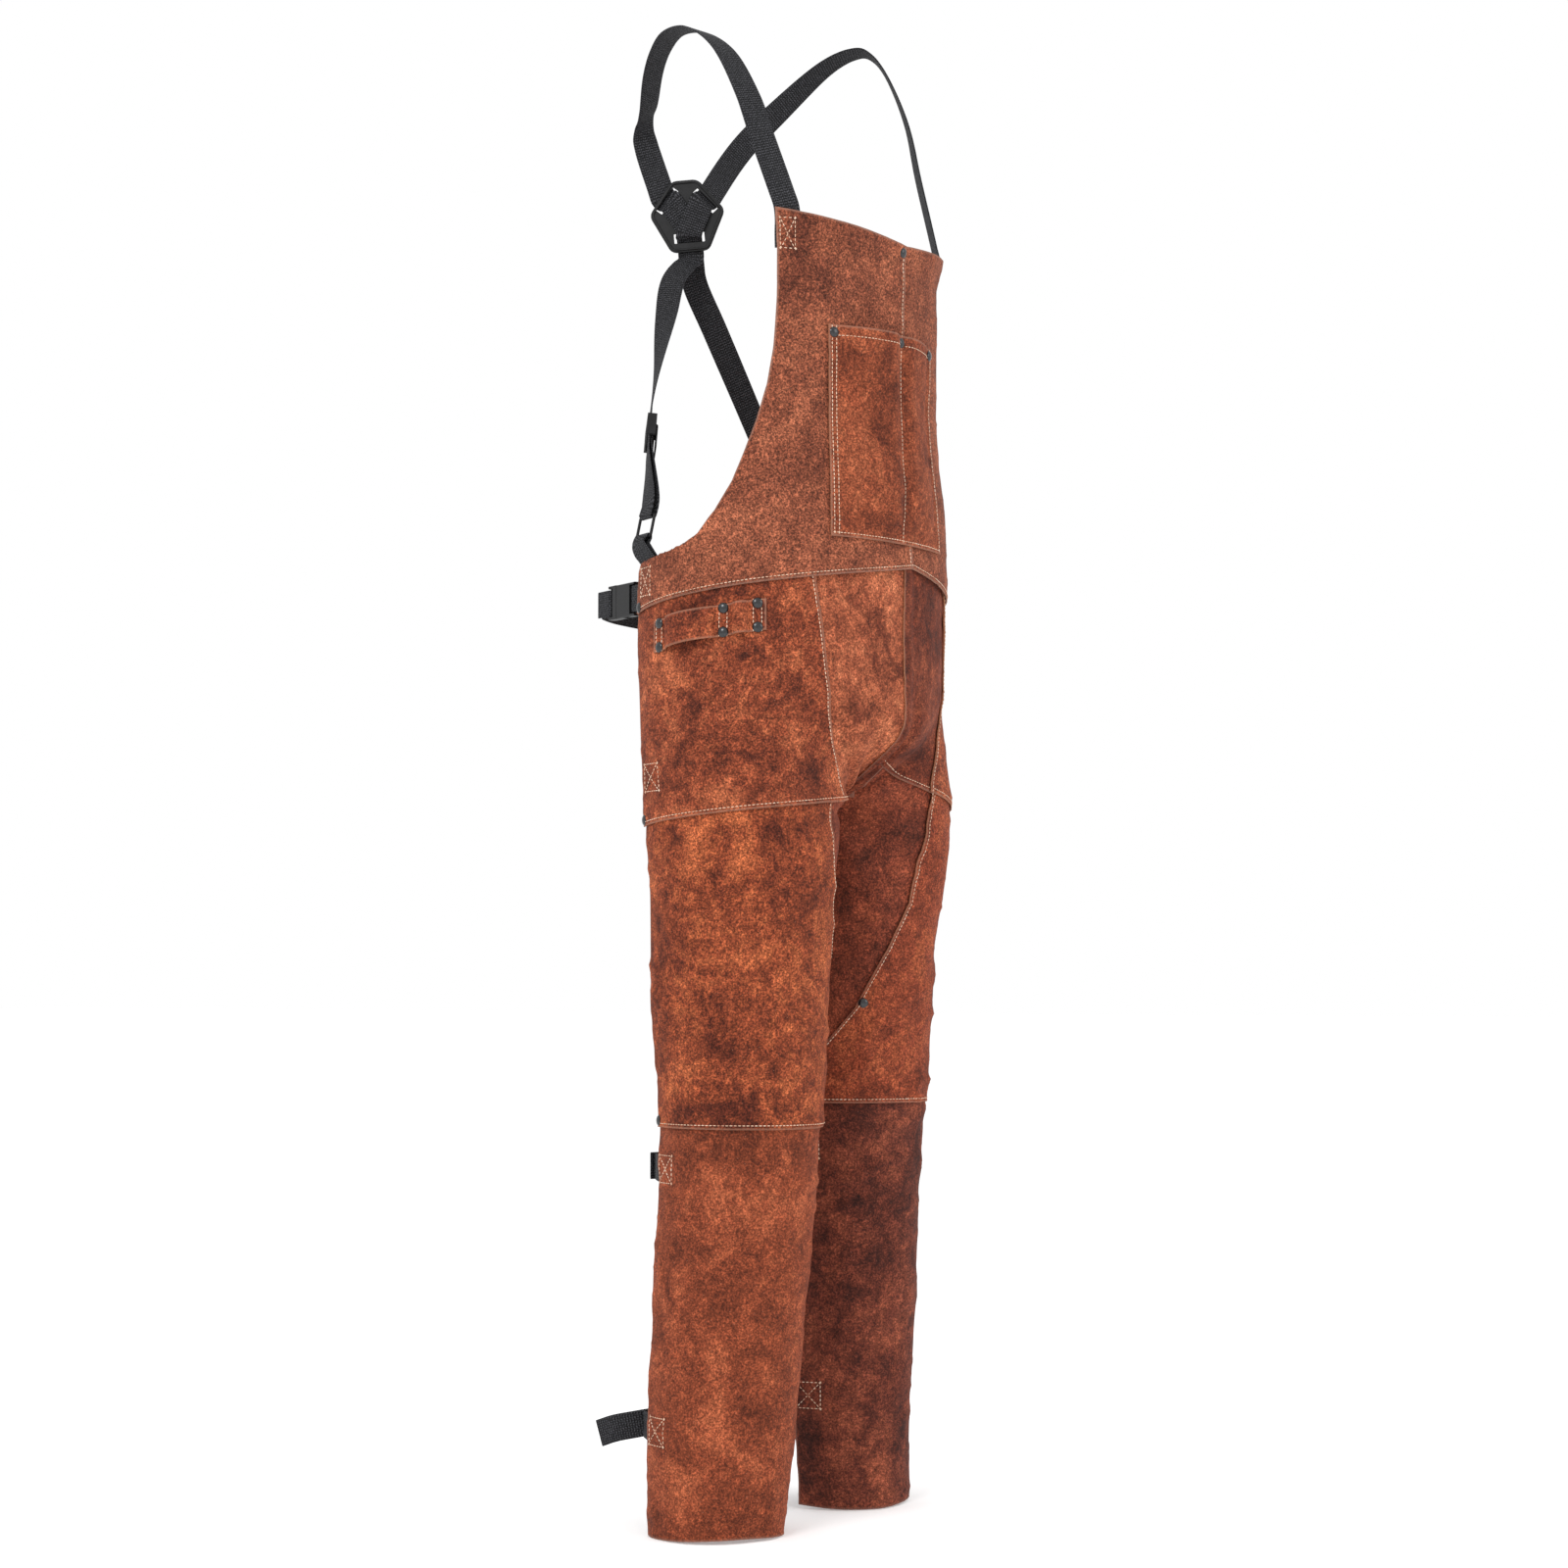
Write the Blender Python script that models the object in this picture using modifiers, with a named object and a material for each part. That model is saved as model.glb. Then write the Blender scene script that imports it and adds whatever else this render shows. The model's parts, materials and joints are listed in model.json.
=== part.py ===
"""Split-leg welding apron in suede leather, shaped as it is worn and open at the back.

Metres, +Z up. The wearer faces -Y, so the wearer's right side is -X. The origin lies between
the two shoulder webbings, where the shoulders carry the apron.
"""

import math

import bmesh
import bpy
import numpy as np
from mathutils import Matrix, Vector

RIGHT, LEFT = -1, 1

# Driving dimensions
LEATHER = 0.0013
LAYER_STEP = 0.0024
LAP = 0.012
WEBBING_WIDTH = 0.025
WEBBING = 0.0013
GAP = 0.0004

# Torso: an ellipse whose size changes a little with height
TORSO_HALF_WIDTH = 0.1797
TORSO_HALF_DEPTH = 0.1227
TORSO_SCALE = ((-0.17, 0.99), (-0.21, 0.93), (-0.26, 0.925), (-0.34, 0.92), (-0.39, 0.945),
               (-0.43, 0.975), (-0.49, 1.0))
# Leg: height, centre x, centre y, radius
LEG_RINGS = ((-0.50, 0.105, -0.010, 0.0910), (-0.70, 0.105, -0.009, 0.0875),
             (-0.80, 0.102, -0.006, 0.0840), (-0.88, 0.099, -0.002, 0.0805),
             (-1.01, 0.095, 0.000, 0.0735), (-1.07, 0.096, 0.002, 0.0725),
             (-1.15, 0.100, 0.006, 0.0702), (-1.25, 0.105, 0.010, 0.0675),
             (-1.32, 0.109, 0.013, 0.0657), (-1.39, 0.1135, 0.015, 0.0625))
# Angles round the leg, in degrees from the front: the medial edge and the lateral edge
MEDIAL, LATERAL = -100.0, 135.0
# Angle round the torso of the side tab's end
TAB_END = 122.5

FLY_TOP = -0.638
WAIST_CLEAR = -0.565
LEG_TOP = -0.753
HEM = -1.388
KNEE_SEAM = {RIGHT: -1.018, LEFT: -1.000}
THIGH_SEAM = {RIGHT: (-0.722, -0.00015), LEFT: (-0.706, -0.0003)}
WAIST_SEAM = (-0.498, -0.544)
BIB_TOP = (-0.190, -0.175)
# Where the outer hip panel laps over the crotch gusset: height and angle
HIP_LINE = {RIGHT: ((-0.50, -22.0), (-0.56, -28.0), (-0.62, -33.0), (-0.73, -22.0)),
            LEFT: ((-0.50, -35.0), (-0.60, -28.0), (-0.72, -11.0))}
# The knee panel's slanted inner edge: height and angle
KNEE_EDGE = ((-0.69, -7.0), (-0.74, -11.0), (-0.81, -21.0), (-0.86, -37.0), (-0.91, -55.0),
             (-0.99, -100.0))
# The armhole, from the bib's top corner down to the side tab: angle and height
ARMHOLE = ((55.5, -0.175), (55.2, -0.21), (55.2, -0.259), (56.6, -0.304), (59.2, -0.340),
           (62.8, -0.372), (67.3, -0.4035), (71.4, -0.430), (78.0, -0.457), (85.0, -0.4785),
           (92.0, -0.4875), (100.0, -0.4925), (110.0, -0.496), (118.5, -0.498), (121.8, -0.505),
           (TAB_END, -0.52), (TAB_END, -0.544))

CALF_LAYER, KNEE_LAYER, HIP_LAYER, BIB_LAYER, POCKET_LAYER = 0, 1, 2, 3, 4

# Chest pocket: angles of its sides, heights of its top and bottom
POCKET_SIDES = (-19.4, 36.0)
POCKET_PEN = 6.0
POCKET_TOP, POCKET_BOTTOM = -0.280, -0.478
POCKET_BULGE = 0.011
# Tool strip on the right hip: angles of its rivet rows, and its width
STRIP_ROWS = (61.5, 74.0, 103.0)
STRIP_BULGES = (0.0085, 0.0105)
STRIP_WIDTH = 0.029

RIVET_CAP_RADIUS = 0.0046
RIVET_CAP_HEIGHT = 0.0022
RIVET_POST_RADIUS = 0.0014
RIVET_HOLE_RADIUS = 0.0019

# Back plate, in its own plane: half widths at the bottom, middle and top
PLATE_CENTRE = Vector((-0.0005, 0.1225, -0.1315))
PLATE_TURN = 58.0
PLATE_LEAN = -5.0
PLATE_OUTLINE = ((-0.0185, -0.036), (0.0185, -0.036), (0.0375, 0.003), (0.0130, 0.0355),
                 (-0.0130, 0.0355), (-0.0375, 0.003))
PLATE_THICKNESS = 0.0024
# Slot centre x, z, turn in degrees, length and width
PLATE_SLOTS = ((-0.0185, 0.0165, 50.0, 0.0285, 0.0070), (0.0185, 0.0135, -50.0, 0.0285, 0.0070),
               (0.0, -0.0220, 0.0, 0.0300, 0.0096))

BUCKLE_WIDTH = 0.0320
BUCKLE_HEIGHT = 0.0084
SOCKET_LENGTH = 0.0340
PLUG_BAR_LENGTH = 0.0220
ARM_LENGTH = 0.0240
BUCKLE_TRAVEL = 0.026


def lerp(a, b, k):
    return a + (b - a) * k


def smooth(k):
    k = min(1.0, max(0.0, k))
    return k * k * (3 - 2 * k)


def by_height(table, z, column=1):
    """The value of a table's column at a height; the table runs downwards."""
    return float(np.interp(-z, [-row[0] for row in table], [row[column] for row in table]))


# The form that the leather lies on


def torso_point(angle, z):
    """A point on the torso; the angle is positive towards the wearer's right."""
    scale = by_height(TORSO_SCALE, z)
    turn = math.radians(angle)
    return Vector((-TORSO_HALF_WIDTH * scale * math.sin(turn),
                   -TORSO_HALF_DEPTH * scale * math.cos(turn), z))


def leg_point(angle, z, side):
    """A point on one leg, blended into the torso between the crotch and the waist."""
    share = (angle - MEDIAL) / (LATERAL - MEDIAL)
    top = lerp(FLY_TOP, WAIST_CLEAR, smooth(share / 0.6))
    legness = smooth((top - z) / (top - LEG_TOP))
    centre_x = by_height(LEG_RINGS, z)
    centre_y = by_height(LEG_RINGS, z, 2)
    radius = by_height(LEG_RINGS, z, 3)
    turn = math.radians(angle)
    reach = radius
    if angle < 0:
        reach = lerp(radius, centre_x - 0.006, smooth((z + 0.82) / 0.10))
    torso = torso_point(share * (TAB_END + 1.5), z)
    x = lerp(torso.x, -centre_x - reach * math.sin(turn), legness)
    y = lerp(torso.y, centre_y - radius * math.cos(turn), legness)
    return Vector((min(x, -0.001) * -side, y, z))


def lifted(surface, angle, z, out):
    """A point of a surface moved outwards, and the surface's normal there."""
    point = surface(angle, z)
    across = surface(angle + 0.5, z) - surface(angle - 0.5, z)
    along = surface(angle, z + 0.002) - surface(angle, z - 0.002)
    normal = across.cross(along).normalized()
    if normal.dot(Vector((point.x, point.y, 0)) - surface.axis(z)) < 0:
        normal = -normal
    return point + normal * out, normal


class Torso:
    def __call__(self, angle, z):
        return torso_point(angle, z)

    def axis(self, z):
        return Vector((0, 0, 0))


class Leg:
    def __init__(self, side):
        self.side = side

    def __call__(self, angle, z):
        return leg_point(angle, z, self.side)

    def axis(self, z):
        return Vector((self.side * by_height(LEG_RINGS, z), 0.02, 0))


TORSO = Torso()
LEGS = {RIGHT: Leg(RIGHT), LEFT: Leg(LEFT)}


def waist_seam(angle):
    return lerp(*WAIST_SEAM, (abs(angle) / TAB_END) ** 0.9)


def thigh_seam(angle, side):
    level, slope = THIGH_SEAM[side]
    return level + slope * angle


def knee_edge(z):
    return by_height(KNEE_EDGE, z)


def hip_line(z, side):
    return by_height(HIP_LINE[side], z)


def leg_waist(angle):
    """The waist seam's height over an angle round the leg."""
    return waist_seam((angle - MEDIAL) / (LATERAL - MEDIAL) * (TAB_END + 1.5))


def lap_angle(side, z):
    """The angle round the leg that one lap takes up."""
    return math.degrees(LAP / by_height(LEG_RINGS, z, 3))


# Objects and materials

MATERIALS = {
    "suede": ((0.30, 0.095, 0.04), 0.9, 0.0),
    "suede_bib": ((0.26, 0.095, 0.055), 0.9, 0.0),
    "webbing": ((0.018, 0.019, 0.021), 0.8, 0.0),
    "plastic": ((0.012, 0.013, 0.014), 0.4, 0.0),
    "rivet": ((0.03, 0.03, 0.032), 0.25, 1.0),
}


def make_materials():
    made = {}
    for name, (colour, roughness, metallic) in MATERIALS.items():
        material = bpy.data.materials.new(name)
        material.use_nodes = True
        shader = material.node_tree.nodes["Principled BSDF"]
        shader.inputs["Base Color"].default_value = (*colour, 1)
        shader.inputs["Roughness"].default_value = roughness
        shader.inputs["Metallic"].default_value = metallic
        made[name] = material
    return made


def clear_scene():
    for obj in list(bpy.data.objects):
        bpy.data.objects.remove(obj)


def add_object(name, mesh, finish, collection):
    obj = bpy.data.objects.new(name, mesh)
    if not mesh.materials:
        mesh.materials.append(materials[finish])
    collection.objects.link(obj)
    return obj


def mesh_from(bm, name):
    mesh = bpy.data.meshes.new(name)
    bm.to_mesh(mesh)
    bm.free()
    return mesh


def solidified(obj, thickness, offset=1.0):
    modifier = obj.modifiers.new("wall", "SOLIDIFY")
    modifier.thickness = thickness
    modifier.offset = offset
    modifier.use_even_offset = True


def cut(obj, cutter):
    modifier = obj.modifiers.new("cut", "BOOLEAN")
    modifier.operation = "DIFFERENCE"
    modifier.object = cutter


# Leather panels


def grid_panel(name, finish, columns, rows, place, outward):
    """An open grid of points with its faces pointing outwards, thickened to leather."""
    bm = bmesh.new()
    grid = [[bm.verts.new(place(c, r)) for c in columns] for r in rows]
    for low, high in zip(grid, grid[1:]):
        for corners in zip(low, low[1:], high[1:], high):
            bm.faces.new(corners)
    bm.faces.ensure_lookup_table()
    bm.normal_update()
    middle = bm.faces[len(bm.faces) // 2]
    if middle.normal.dot(outward(middle.calc_center_median())) < 0:
        bmesh.ops.reverse_faces(bm, faces=bm.faces)
    obj = add_object(name, mesh_from(bm, name), finish, parts)
    solidified(obj, LEATHER)
    return obj


def leg_panel(name, side, layer, limits, heights, columns, rows):
    """A panel on one leg. limits(z) gives its two angles, heights(angle) its low and high edge."""
    surface = LEGS[side]

    def place(c, r):
        angle = lerp(MEDIAL, LATERAL, 0.5)
        for _ in range(3):
            z = lerp(*heights(angle), r)
            angle = lerp(*limits(z), c)
        point = lifted(surface, angle, lerp(*heights(angle), r), layer * LAYER_STEP)[0]
        return Vector((side * max(0.0022, side * point.x), point.y, point.z))

    def outward(point):
        return Vector((point.x, point.y, 0)) - surface.axis(point.z)

    return grid_panel(name, "suede", columns, rows, place, outward)


def steps(count, *extra):
    """Evenly spaced shares from 0 to 1, with extra shares put in."""
    return sorted({*(round(k / count, 5) for k in range(count + 1)), *extra})


def side_name(side):
    return "right" if side == RIGHT else "left"


def add_leg_leather(side):
    tag = side_name(side)
    knee = KNEE_SEAM[side]
    leg_panel("calf_panel_" + tag, side, CALF_LAYER, lambda z: (MEDIAL, LATERAL),
              lambda a: (HEM, knee + LAP), steps(24), steps(5, 0.967))
    low_point = KNEE_EDGE[-1][0] + 0.045

    def inner_limits(z):
        return MEDIAL, max(MEDIAL + 9, knee_edge(z) + lap_angle(side, z))

    leg_panel("inner_knee_piece_" + tag, side, CALF_LAYER - 0.25, inner_limits,
              lambda a: (low_point, thigh_seam(a, side) + LAP), steps(10), steps(16, 0.95))

    def knee_limits(z):
        return max(MEDIAL, knee_edge(z)), LATERAL

    leg_panel("knee_panel_" + tag, side, KNEE_LAYER, knee_limits,
              lambda a: (knee, thigh_seam(a, side) + LAP), steps(24), steps(14, 0.042, 0.96))

    def gusset_limits(z):
        lap_edge = hip_line(z, side) + lap_angle(side, z)
        return MEDIAL, min(lap_edge, lerp(-9.0, 20.0, smooth((z + 0.69) / 0.06)))

    leg_panel("crotch_gusset_" + tag, side, KNEE_LAYER, gusset_limits,
              lambda a: (thigh_seam(a, side), leg_waist(a) + LAP), steps(12), steps(10))
    leg_panel("hip_panel_" + tag, side, HIP_LAYER, lambda z: (hip_line(z, side), LATERAL),
              lambda a: (thigh_seam(a, side), leg_waist(a) + LAP), steps(17), steps(8, 0.06, 0.94))


def armhole_point(share):
    """Angle and height at a share of the armhole's length, from the tab's foot to the corner."""
    points = [Vector((math.radians(a) * TORSO_HALF_WIDTH, z)) for a, z in reversed(ARMHOLE)]
    lengths = np.cumsum([0.0] + [(b - a).length for a, b in zip(points, points[1:])])
    reach = share * lengths[-1]
    arc = np.interp(reach, lengths, [p.x for p in points])
    return math.degrees(arc / TORSO_HALF_WIDTH), float(np.interp(reach, lengths, [p.y for p in points]))


def add_bib(side):
    def place(c, r):
        edge_angle, edge_z = armhole_point(r)
        foot = waist_seam(edge_angle * c) if r == 0 else None
        centre_z = lerp(WAIST_SEAM[0], BIB_TOP[0], r ** 1.05)
        z = foot if foot is not None else lerp(centre_z, edge_z, c)
        angle = lerp(0.17, edge_angle, c) * -side
        return lifted(TORSO, angle, z, BIB_LAYER * LAYER_STEP)[0]

    grid_panel("bib_" + side_name(side), "suede_bib", steps(12), steps(18), place,
               lambda p: Vector((p.x, p.y, 0)))


def pocket_bulge(angle, z):
    across = (angle - POCKET_SIDES[0]) / (POCKET_SIDES[1] - POCKET_SIDES[0])
    up = (z - POCKET_BOTTOM) / (POCKET_TOP - POCKET_BOTTOM)
    share = min(1.0, max(0.0, (across - 0.085) / 0.83))
    rise = math.sin(math.pi * share) ** 0.7
    return POCKET_BULGE * rise * smooth(up / 0.25)


def add_pocket():
    def place(c, r):
        angle = lerp(*POCKET_SIDES, c)
        z = lerp(POCKET_BOTTOM, POCKET_TOP, r)
        out = POCKET_LAYER * LAYER_STEP + pocket_bulge(angle, z)
        return lifted(TORSO, angle, z, out)[0]

    grid_panel("chest_pocket", "suede", steps(14, 0.035, 0.085, 0.915, 0.965), steps(6, 0.06), place,
               lambda p: Vector((p.x, p.y, 0)))


def strip_height(angle):
    """Height of the tool strip's middle, which slopes down towards the back."""
    return lerp(-0.553, -0.568, (angle - STRIP_ROWS[0]) / (STRIP_ROWS[-1] - STRIP_ROWS[0]))


def strip_lift(angle):
    for start, end, bulge in zip(STRIP_ROWS, STRIP_ROWS[1:], STRIP_BULGES):
        free = 3.6
        if start + free < angle < end - free:
            share = (angle - start - free) / (end - start - 2 * free)
            return bulge * math.sin(math.pi * share) ** 0.6
    return 0.0


def strip_columns():
    first, middle, last = STRIP_ROWS
    angles = [first - 3.2, first, first + 3.6]
    angles += [lerp(first + 3.6, middle - 3.6, k / 4) for k in range(1, 4)]
    angles += [middle - 3.6, middle, middle + 3.6]
    angles += [lerp(middle + 3.6, last - 3.6, k / 6) for k in range(1, 6)]
    return angles + [last - 3.6, last, last + 3.2]


def add_tool_strip():
    def place(angle, r):
        z = strip_height(angle) + lerp(-0.5, 0.5, r) * STRIP_WIDTH
        out = (HIP_LAYER + 1) * LAYER_STEP + strip_lift(angle)
        return lifted(TORSO, angle, z, out)[0]

    grid_panel("tool_strip", "suede", strip_columns(), (0, 0.5, 1), place,
               lambda p: Vector((p.x, p.y, 0)))


# Rivets


def cylinder(bm, radius, low, high, top_radius=None, sides=10):
    """A cylinder or cone along Z between two heights."""
    made = bmesh.ops.create_cone(bm, cap_ends=True, segments=sides, radius1=radius,
                                 radius2=radius if top_radius is None else top_radius,
                                 depth=high - low)
    bmesh.ops.translate(bm, verts=made["verts"], vec=(0, 0, (low + high) / 2))


def turned_profile(bm, profile, sides=10):
    """A closed solid turned about Z from (radius, height) pairs, the first and last on the axis."""
    rings = []
    for radius, z in profile:
        if radius == 0:
            rings.append([bm.verts.new((0, 0, z))])
            continue
        turns = [2 * math.pi * k / sides for k in range(sides)]
        rings.append([bm.verts.new((radius * math.cos(t), radius * math.sin(t), z)) for t in turns])
    for low, high in zip(rings, rings[1:]):
        for k in range(sides):
            after = (k + 1) % sides
            loop = [low[k % len(low)], low[after % len(low)], high[after % len(high)], high[k % len(high)]]
            bm.faces.new(list(dict.fromkeys(loop)))


def rivet_frame(point, normal):
    matrix = normal.to_track_quat("Z", "Y").to_matrix().to_4x4()
    matrix.translation = point
    return matrix


def add_rivet(name, angle, z, inner_layer, outer_layer, through):
    """A rivet whose post passes through two layers of leather, with a hole cut in each."""
    point, normal = lifted(TORSO, angle, z, inner_layer * LAYER_STEP)
    back = -GAP * 2
    face = (outer_layer - inner_layer) * LAYER_STEP + LEATHER + GAP * 2
    bm = bmesh.new()
    turned_profile(bm, ((0, back - 0.001), (RIVET_CAP_RADIUS * 0.85, back - 0.001),
                        (RIVET_CAP_RADIUS * 0.85, back), (RIVET_POST_RADIUS, back),
                        (RIVET_POST_RADIUS, face), (RIVET_CAP_RADIUS, face),
                        (RIVET_CAP_RADIUS * 0.94, face + 0.0009),
                        (RIVET_CAP_RADIUS * 0.6, face + RIVET_CAP_HEIGHT * 0.85),
                        (0, face + RIVET_CAP_HEIGHT)))
    bmesh.ops.recalc_face_normals(bm, faces=bm.faces)
    rivet = add_object(name, mesh_from(bm, name), "rivet", parts)
    rivet.matrix_world = rivet_frame(point, normal)
    bm = bmesh.new()
    cylinder(bm, RIVET_HOLE_RADIUS, -0.006, 0.009, sides=10)
    hole = add_object(name + "_hole", mesh_from(bm, name + "_hole"), "rivet", cutters)
    hole.matrix_world = rivet_frame(point, normal)
    hole.hide_render = True
    hole.display_type = "WIRE"
    for panel in through:
        cut(bpy.data.objects[panel], hole)


def add_rivets():
    for row, angle in enumerate(STRIP_ROWS):
        for place, offset in (("top", 0.011), ("bottom", -0.011)):
            add_rivet(f"strip_rivet_{row + 1}_{place}", angle, strip_height(angle) + offset,
                      HIP_LAYER, HIP_LAYER + 1, ("hip_panel_right", "tool_strip"))
    top = POCKET_TOP - 0.007
    corners = (("left", POCKET_SIDES[0] + 2.0), ("right", POCKET_SIDES[1] - 2.0))
    for name, angle in corners:
        bib = "bib_left" if angle < 0 else "bib_right"
        add_rivet("pocket_rivet_" + name, angle, top, BIB_LAYER, POCKET_LAYER, (bib, "chest_pocket"))


# Webbing


def spline(points, count):
    """Points spread evenly along a smooth curve through the given vectors."""
    ends = [points[0] * 2 - points[1], *points, points[-1] * 2 - points[-2]]
    fine = []
    for a, b, c, d in zip(ends, ends[1:], ends[2:], ends[3:]):
        for k in range(12):
            t = k / 12
            fine.append(0.5 * (2 * b + (c - a) * t + (2 * a - 5 * b + 4 * c - d) * t ** 2
                               + (3 * b - a - 3 * c + d) * t ** 3))
    fine.append(points[-1].copy())
    lengths = np.cumsum([0.0] + [(q - p).length for p, q in zip(fine, fine[1:])])
    reach = np.linspace(0, lengths[-1], count)
    axes = [np.interp(reach, lengths, [p[axis] for p in fine]) for axis in range(3)]
    return [Vector(p) for p in zip(*axes)]


def ribbon(name, route, widths, width=WEBBING_WIDTH):
    """Flat webbing along a route. widths gives the direction across it at each point."""
    bm = bmesh.new()
    rings = []
    for k, point in enumerate(route):
        before = route[max(0, k - 1)]
        after = route[min(len(route) - 1, k + 1)]
        along = (after - before).normalized()
        across = (widths[k] - along * widths[k].dot(along)).normalized()
        up = along.cross(across)
        rings.append([bm.verts.new(point + across * (sx * width / 2) + up * (sz * WEBBING / 2))
                      for sx, sz in ((-1, -1), (1, -1), (1, 1), (-1, 1))])
    for low, high in zip(rings, rings[1:]):
        for k in range(4):
            after = (k + 1) % 4
            bm.faces.new((low[k], low[after], high[after], high[k]))
    bm.faces.new(rings[0][::-1])
    bm.faces.new(rings[-1])
    bmesh.ops.recalc_face_normals(bm, faces=bm.faces)
    return add_object(name, mesh_from(bm, name), "webbing", parts)


def blend_widths(keys, count):
    """Directions across the webbing, blended between a few given ones along its length."""
    shares = [share for share, _ in keys]
    axes = [np.interp(np.linspace(0, 1, count), shares, [v[axis] for _, v in keys]) for axis in range(3)]
    return [Vector(v).normalized() for v in zip(*axes)]


def local_frame(centre, across, up):
    """A matrix with X across, Z up and Y square to both."""
    across = across.normalized()
    up = (up - across * up.dot(across)).normalized()
    back = up.cross(across)
    matrix = Matrix((across, back, up)).transposed().to_4x4()
    matrix.translation = centre
    return matrix


def box_object(name, low, high, chamfer):
    """A box in the cutters' collection; chamfer takes that much off its four longest edges."""
    bm = bmesh.new()
    made = bmesh.ops.create_cube(bm, size=1)
    size = [b - a for a, b in zip(low, high)]
    middle = [(a + b) / 2 for a, b in zip(low, high)]
    bmesh.ops.scale(bm, verts=made["verts"], vec=size)
    bmesh.ops.translate(bm, verts=made["verts"], vec=middle)
    if chamfer:
        axis = size.index(max(size))
        edges = [e for e in bm.edges
                 if abs(e.verts[0].co[axis] - e.verts[1].co[axis]) > size[axis] / 2]
        bmesh.ops.bevel(bm, geom=edges, offset=chamfer, segments=1, affect="EDGES")
    return add_object(name, mesh_from(bm, name), "plastic", cutters)


def carved(name, steps_taken):
    """A mesh made from boxes, each (low, high, chamfer, True to add it or False to cut it away)."""
    helpers = [box_object(f"{name}_blank_{k}", low, high, chamfer)
               for k, (low, high, chamfer, _) in enumerate(steps_taken)]
    for helper, (_, _, _, added) in zip(helpers[1:], steps_taken[1:]):
        modifier = helpers[0].modifiers.new("shape", "BOOLEAN")
        modifier.operation = "UNION" if added else "DIFFERENCE"
        modifier.object = helper
    bpy.context.view_layer.update()
    graph = bpy.context.evaluated_depsgraph_get()
    mesh = bpy.data.meshes.new_from_object(helpers[0].evaluated_get(graph))
    mesh.name = name
    mesh.materials.clear()
    for helper in helpers:
        bpy.data.objects.remove(helper)
    return mesh


def wire_loop(name, half_width, half_height, corner, radius, sides=8):
    """A rounded rectangle bent from round wire, in the XZ plane; the sizes are to its centre line."""
    bm = bmesh.new()
    rings = []
    for sx, sz, start in ((1, 1, 0), (-1, 1, 90), (-1, -1, 180), (1, -1, 270)):
        for turn in (0, 45, 90):
            angle = math.radians(start + turn)
            out = Vector((math.cos(angle), 0, math.sin(angle)))
            centre = Vector((sx * (half_width - corner), 0, sz * (half_height - corner))) + out * corner
            around = [2 * math.pi * (k + 0.5) / sides for k in range(sides)]
            rings.append([bm.verts.new(centre + out * radius * math.cos(t)
                                       + Vector((0, radius * math.sin(t), 0))) for t in around])
    for n, ring in enumerate(rings):
        other = rings[(n + 1) % len(rings)]
        for k in range(sides):
            after = (k + 1) % sides
            bm.faces.new((ring[k], ring[after], other[after], other[k]))
    bmesh.ops.recalc_face_normals(bm, faces=bm.faces)
    return mesh_from(bm, name)


# Back plate

PLATE_FRAME = (Matrix.Translation(PLATE_CENTRE)
               @ Matrix.Rotation(math.radians(-PLATE_TURN), 4, "Z")
               @ Matrix.Rotation(math.radians(PLATE_LEAN), 4, "Y"))


def on_plate(x, z, out):
    """A point given in the plate's plane; out is the distance in front of its middle."""
    return PLATE_FRAME @ Vector((x, -out, z))


def slot_direction(turn):
    turn = math.radians(turn)
    return PLATE_FRAME.to_3x3() @ Vector((math.cos(turn), 0, math.sin(turn)))


def add_back_plate():
    bm = bmesh.new()
    for y in (-PLATE_THICKNESS / 2, PLATE_THICKNESS / 2):
        bm.faces.new([bm.verts.new((x, y, z)) for x, z in PLATE_OUTLINE])
    bm.faces.ensure_lookup_table()
    near, far = bm.faces[0].verts[:], bm.faces[1].verts[:]
    for k in range(len(near)):
        after = (k + 1) % len(near)
        bm.faces.new((near[k], near[after], far[after], far[k]))
    bmesh.ops.recalc_face_normals(bm, faces=bm.faces)
    upright = [e for e in bm.edges if abs(e.verts[0].co.y - e.verts[1].co.y) > 0.001]
    bmesh.ops.bevel(bm, geom=upright, offset=0.005, segments=3, affect="EDGES", profile=0.5)
    plate = add_object("back_plate", mesh_from(bm, "back_plate"), "plastic", parts)
    plate.matrix_world = PLATE_FRAME
    for k, (x, z, turn, length, wide) in enumerate(PLATE_SLOTS):
        slot = box_object(f"plate_slot_{k}", (-length / 2, -0.01, -wide / 2),
                          (length / 2, 0.01, wide / 2), 0)
        slot.matrix_world = (PLATE_FRAME @ Matrix.Translation((x, 0, z))
                             @ Matrix.Rotation(math.radians(-turn), 4, "Y"))
        slot.hide_render = True
        slot.display_type = "WIRE"
        cut(plate, slot)


# Shoulder webbing, from the bib over the shoulder, through the plate and down to the other side

CORNER_ANGLE = 52.0
SHOULDER_ROUTES = {
    RIGHT: ((-0.1490, -0.0590, -0.110), (-0.1470, -0.0410, -0.066), (-0.1410, -0.0120, -0.020),
            (-0.1300, 0.0250, 0.007), (-0.1140, 0.0620, 0.0145), (-0.0920, 0.0920, 0.0080),
            (-0.0690, 0.1170, -0.007), (-0.0400, 0.1420, -0.030), (-0.0200, 0.1610, -0.052)),
    LEFT: ((0.1480, -0.0550, -0.090), (0.1455, -0.0430, -0.033), (0.1400, -0.0250, 0.015),
           (0.1350, -0.0080, 0.040), (0.1285, 0.0090, 0.0440), (0.1150, 0.0370, 0.028),
           (0.0900, 0.0780, -0.017), (0.0680, 0.0960, -0.047), (0.0480, 0.1050, -0.074)),
}
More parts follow.
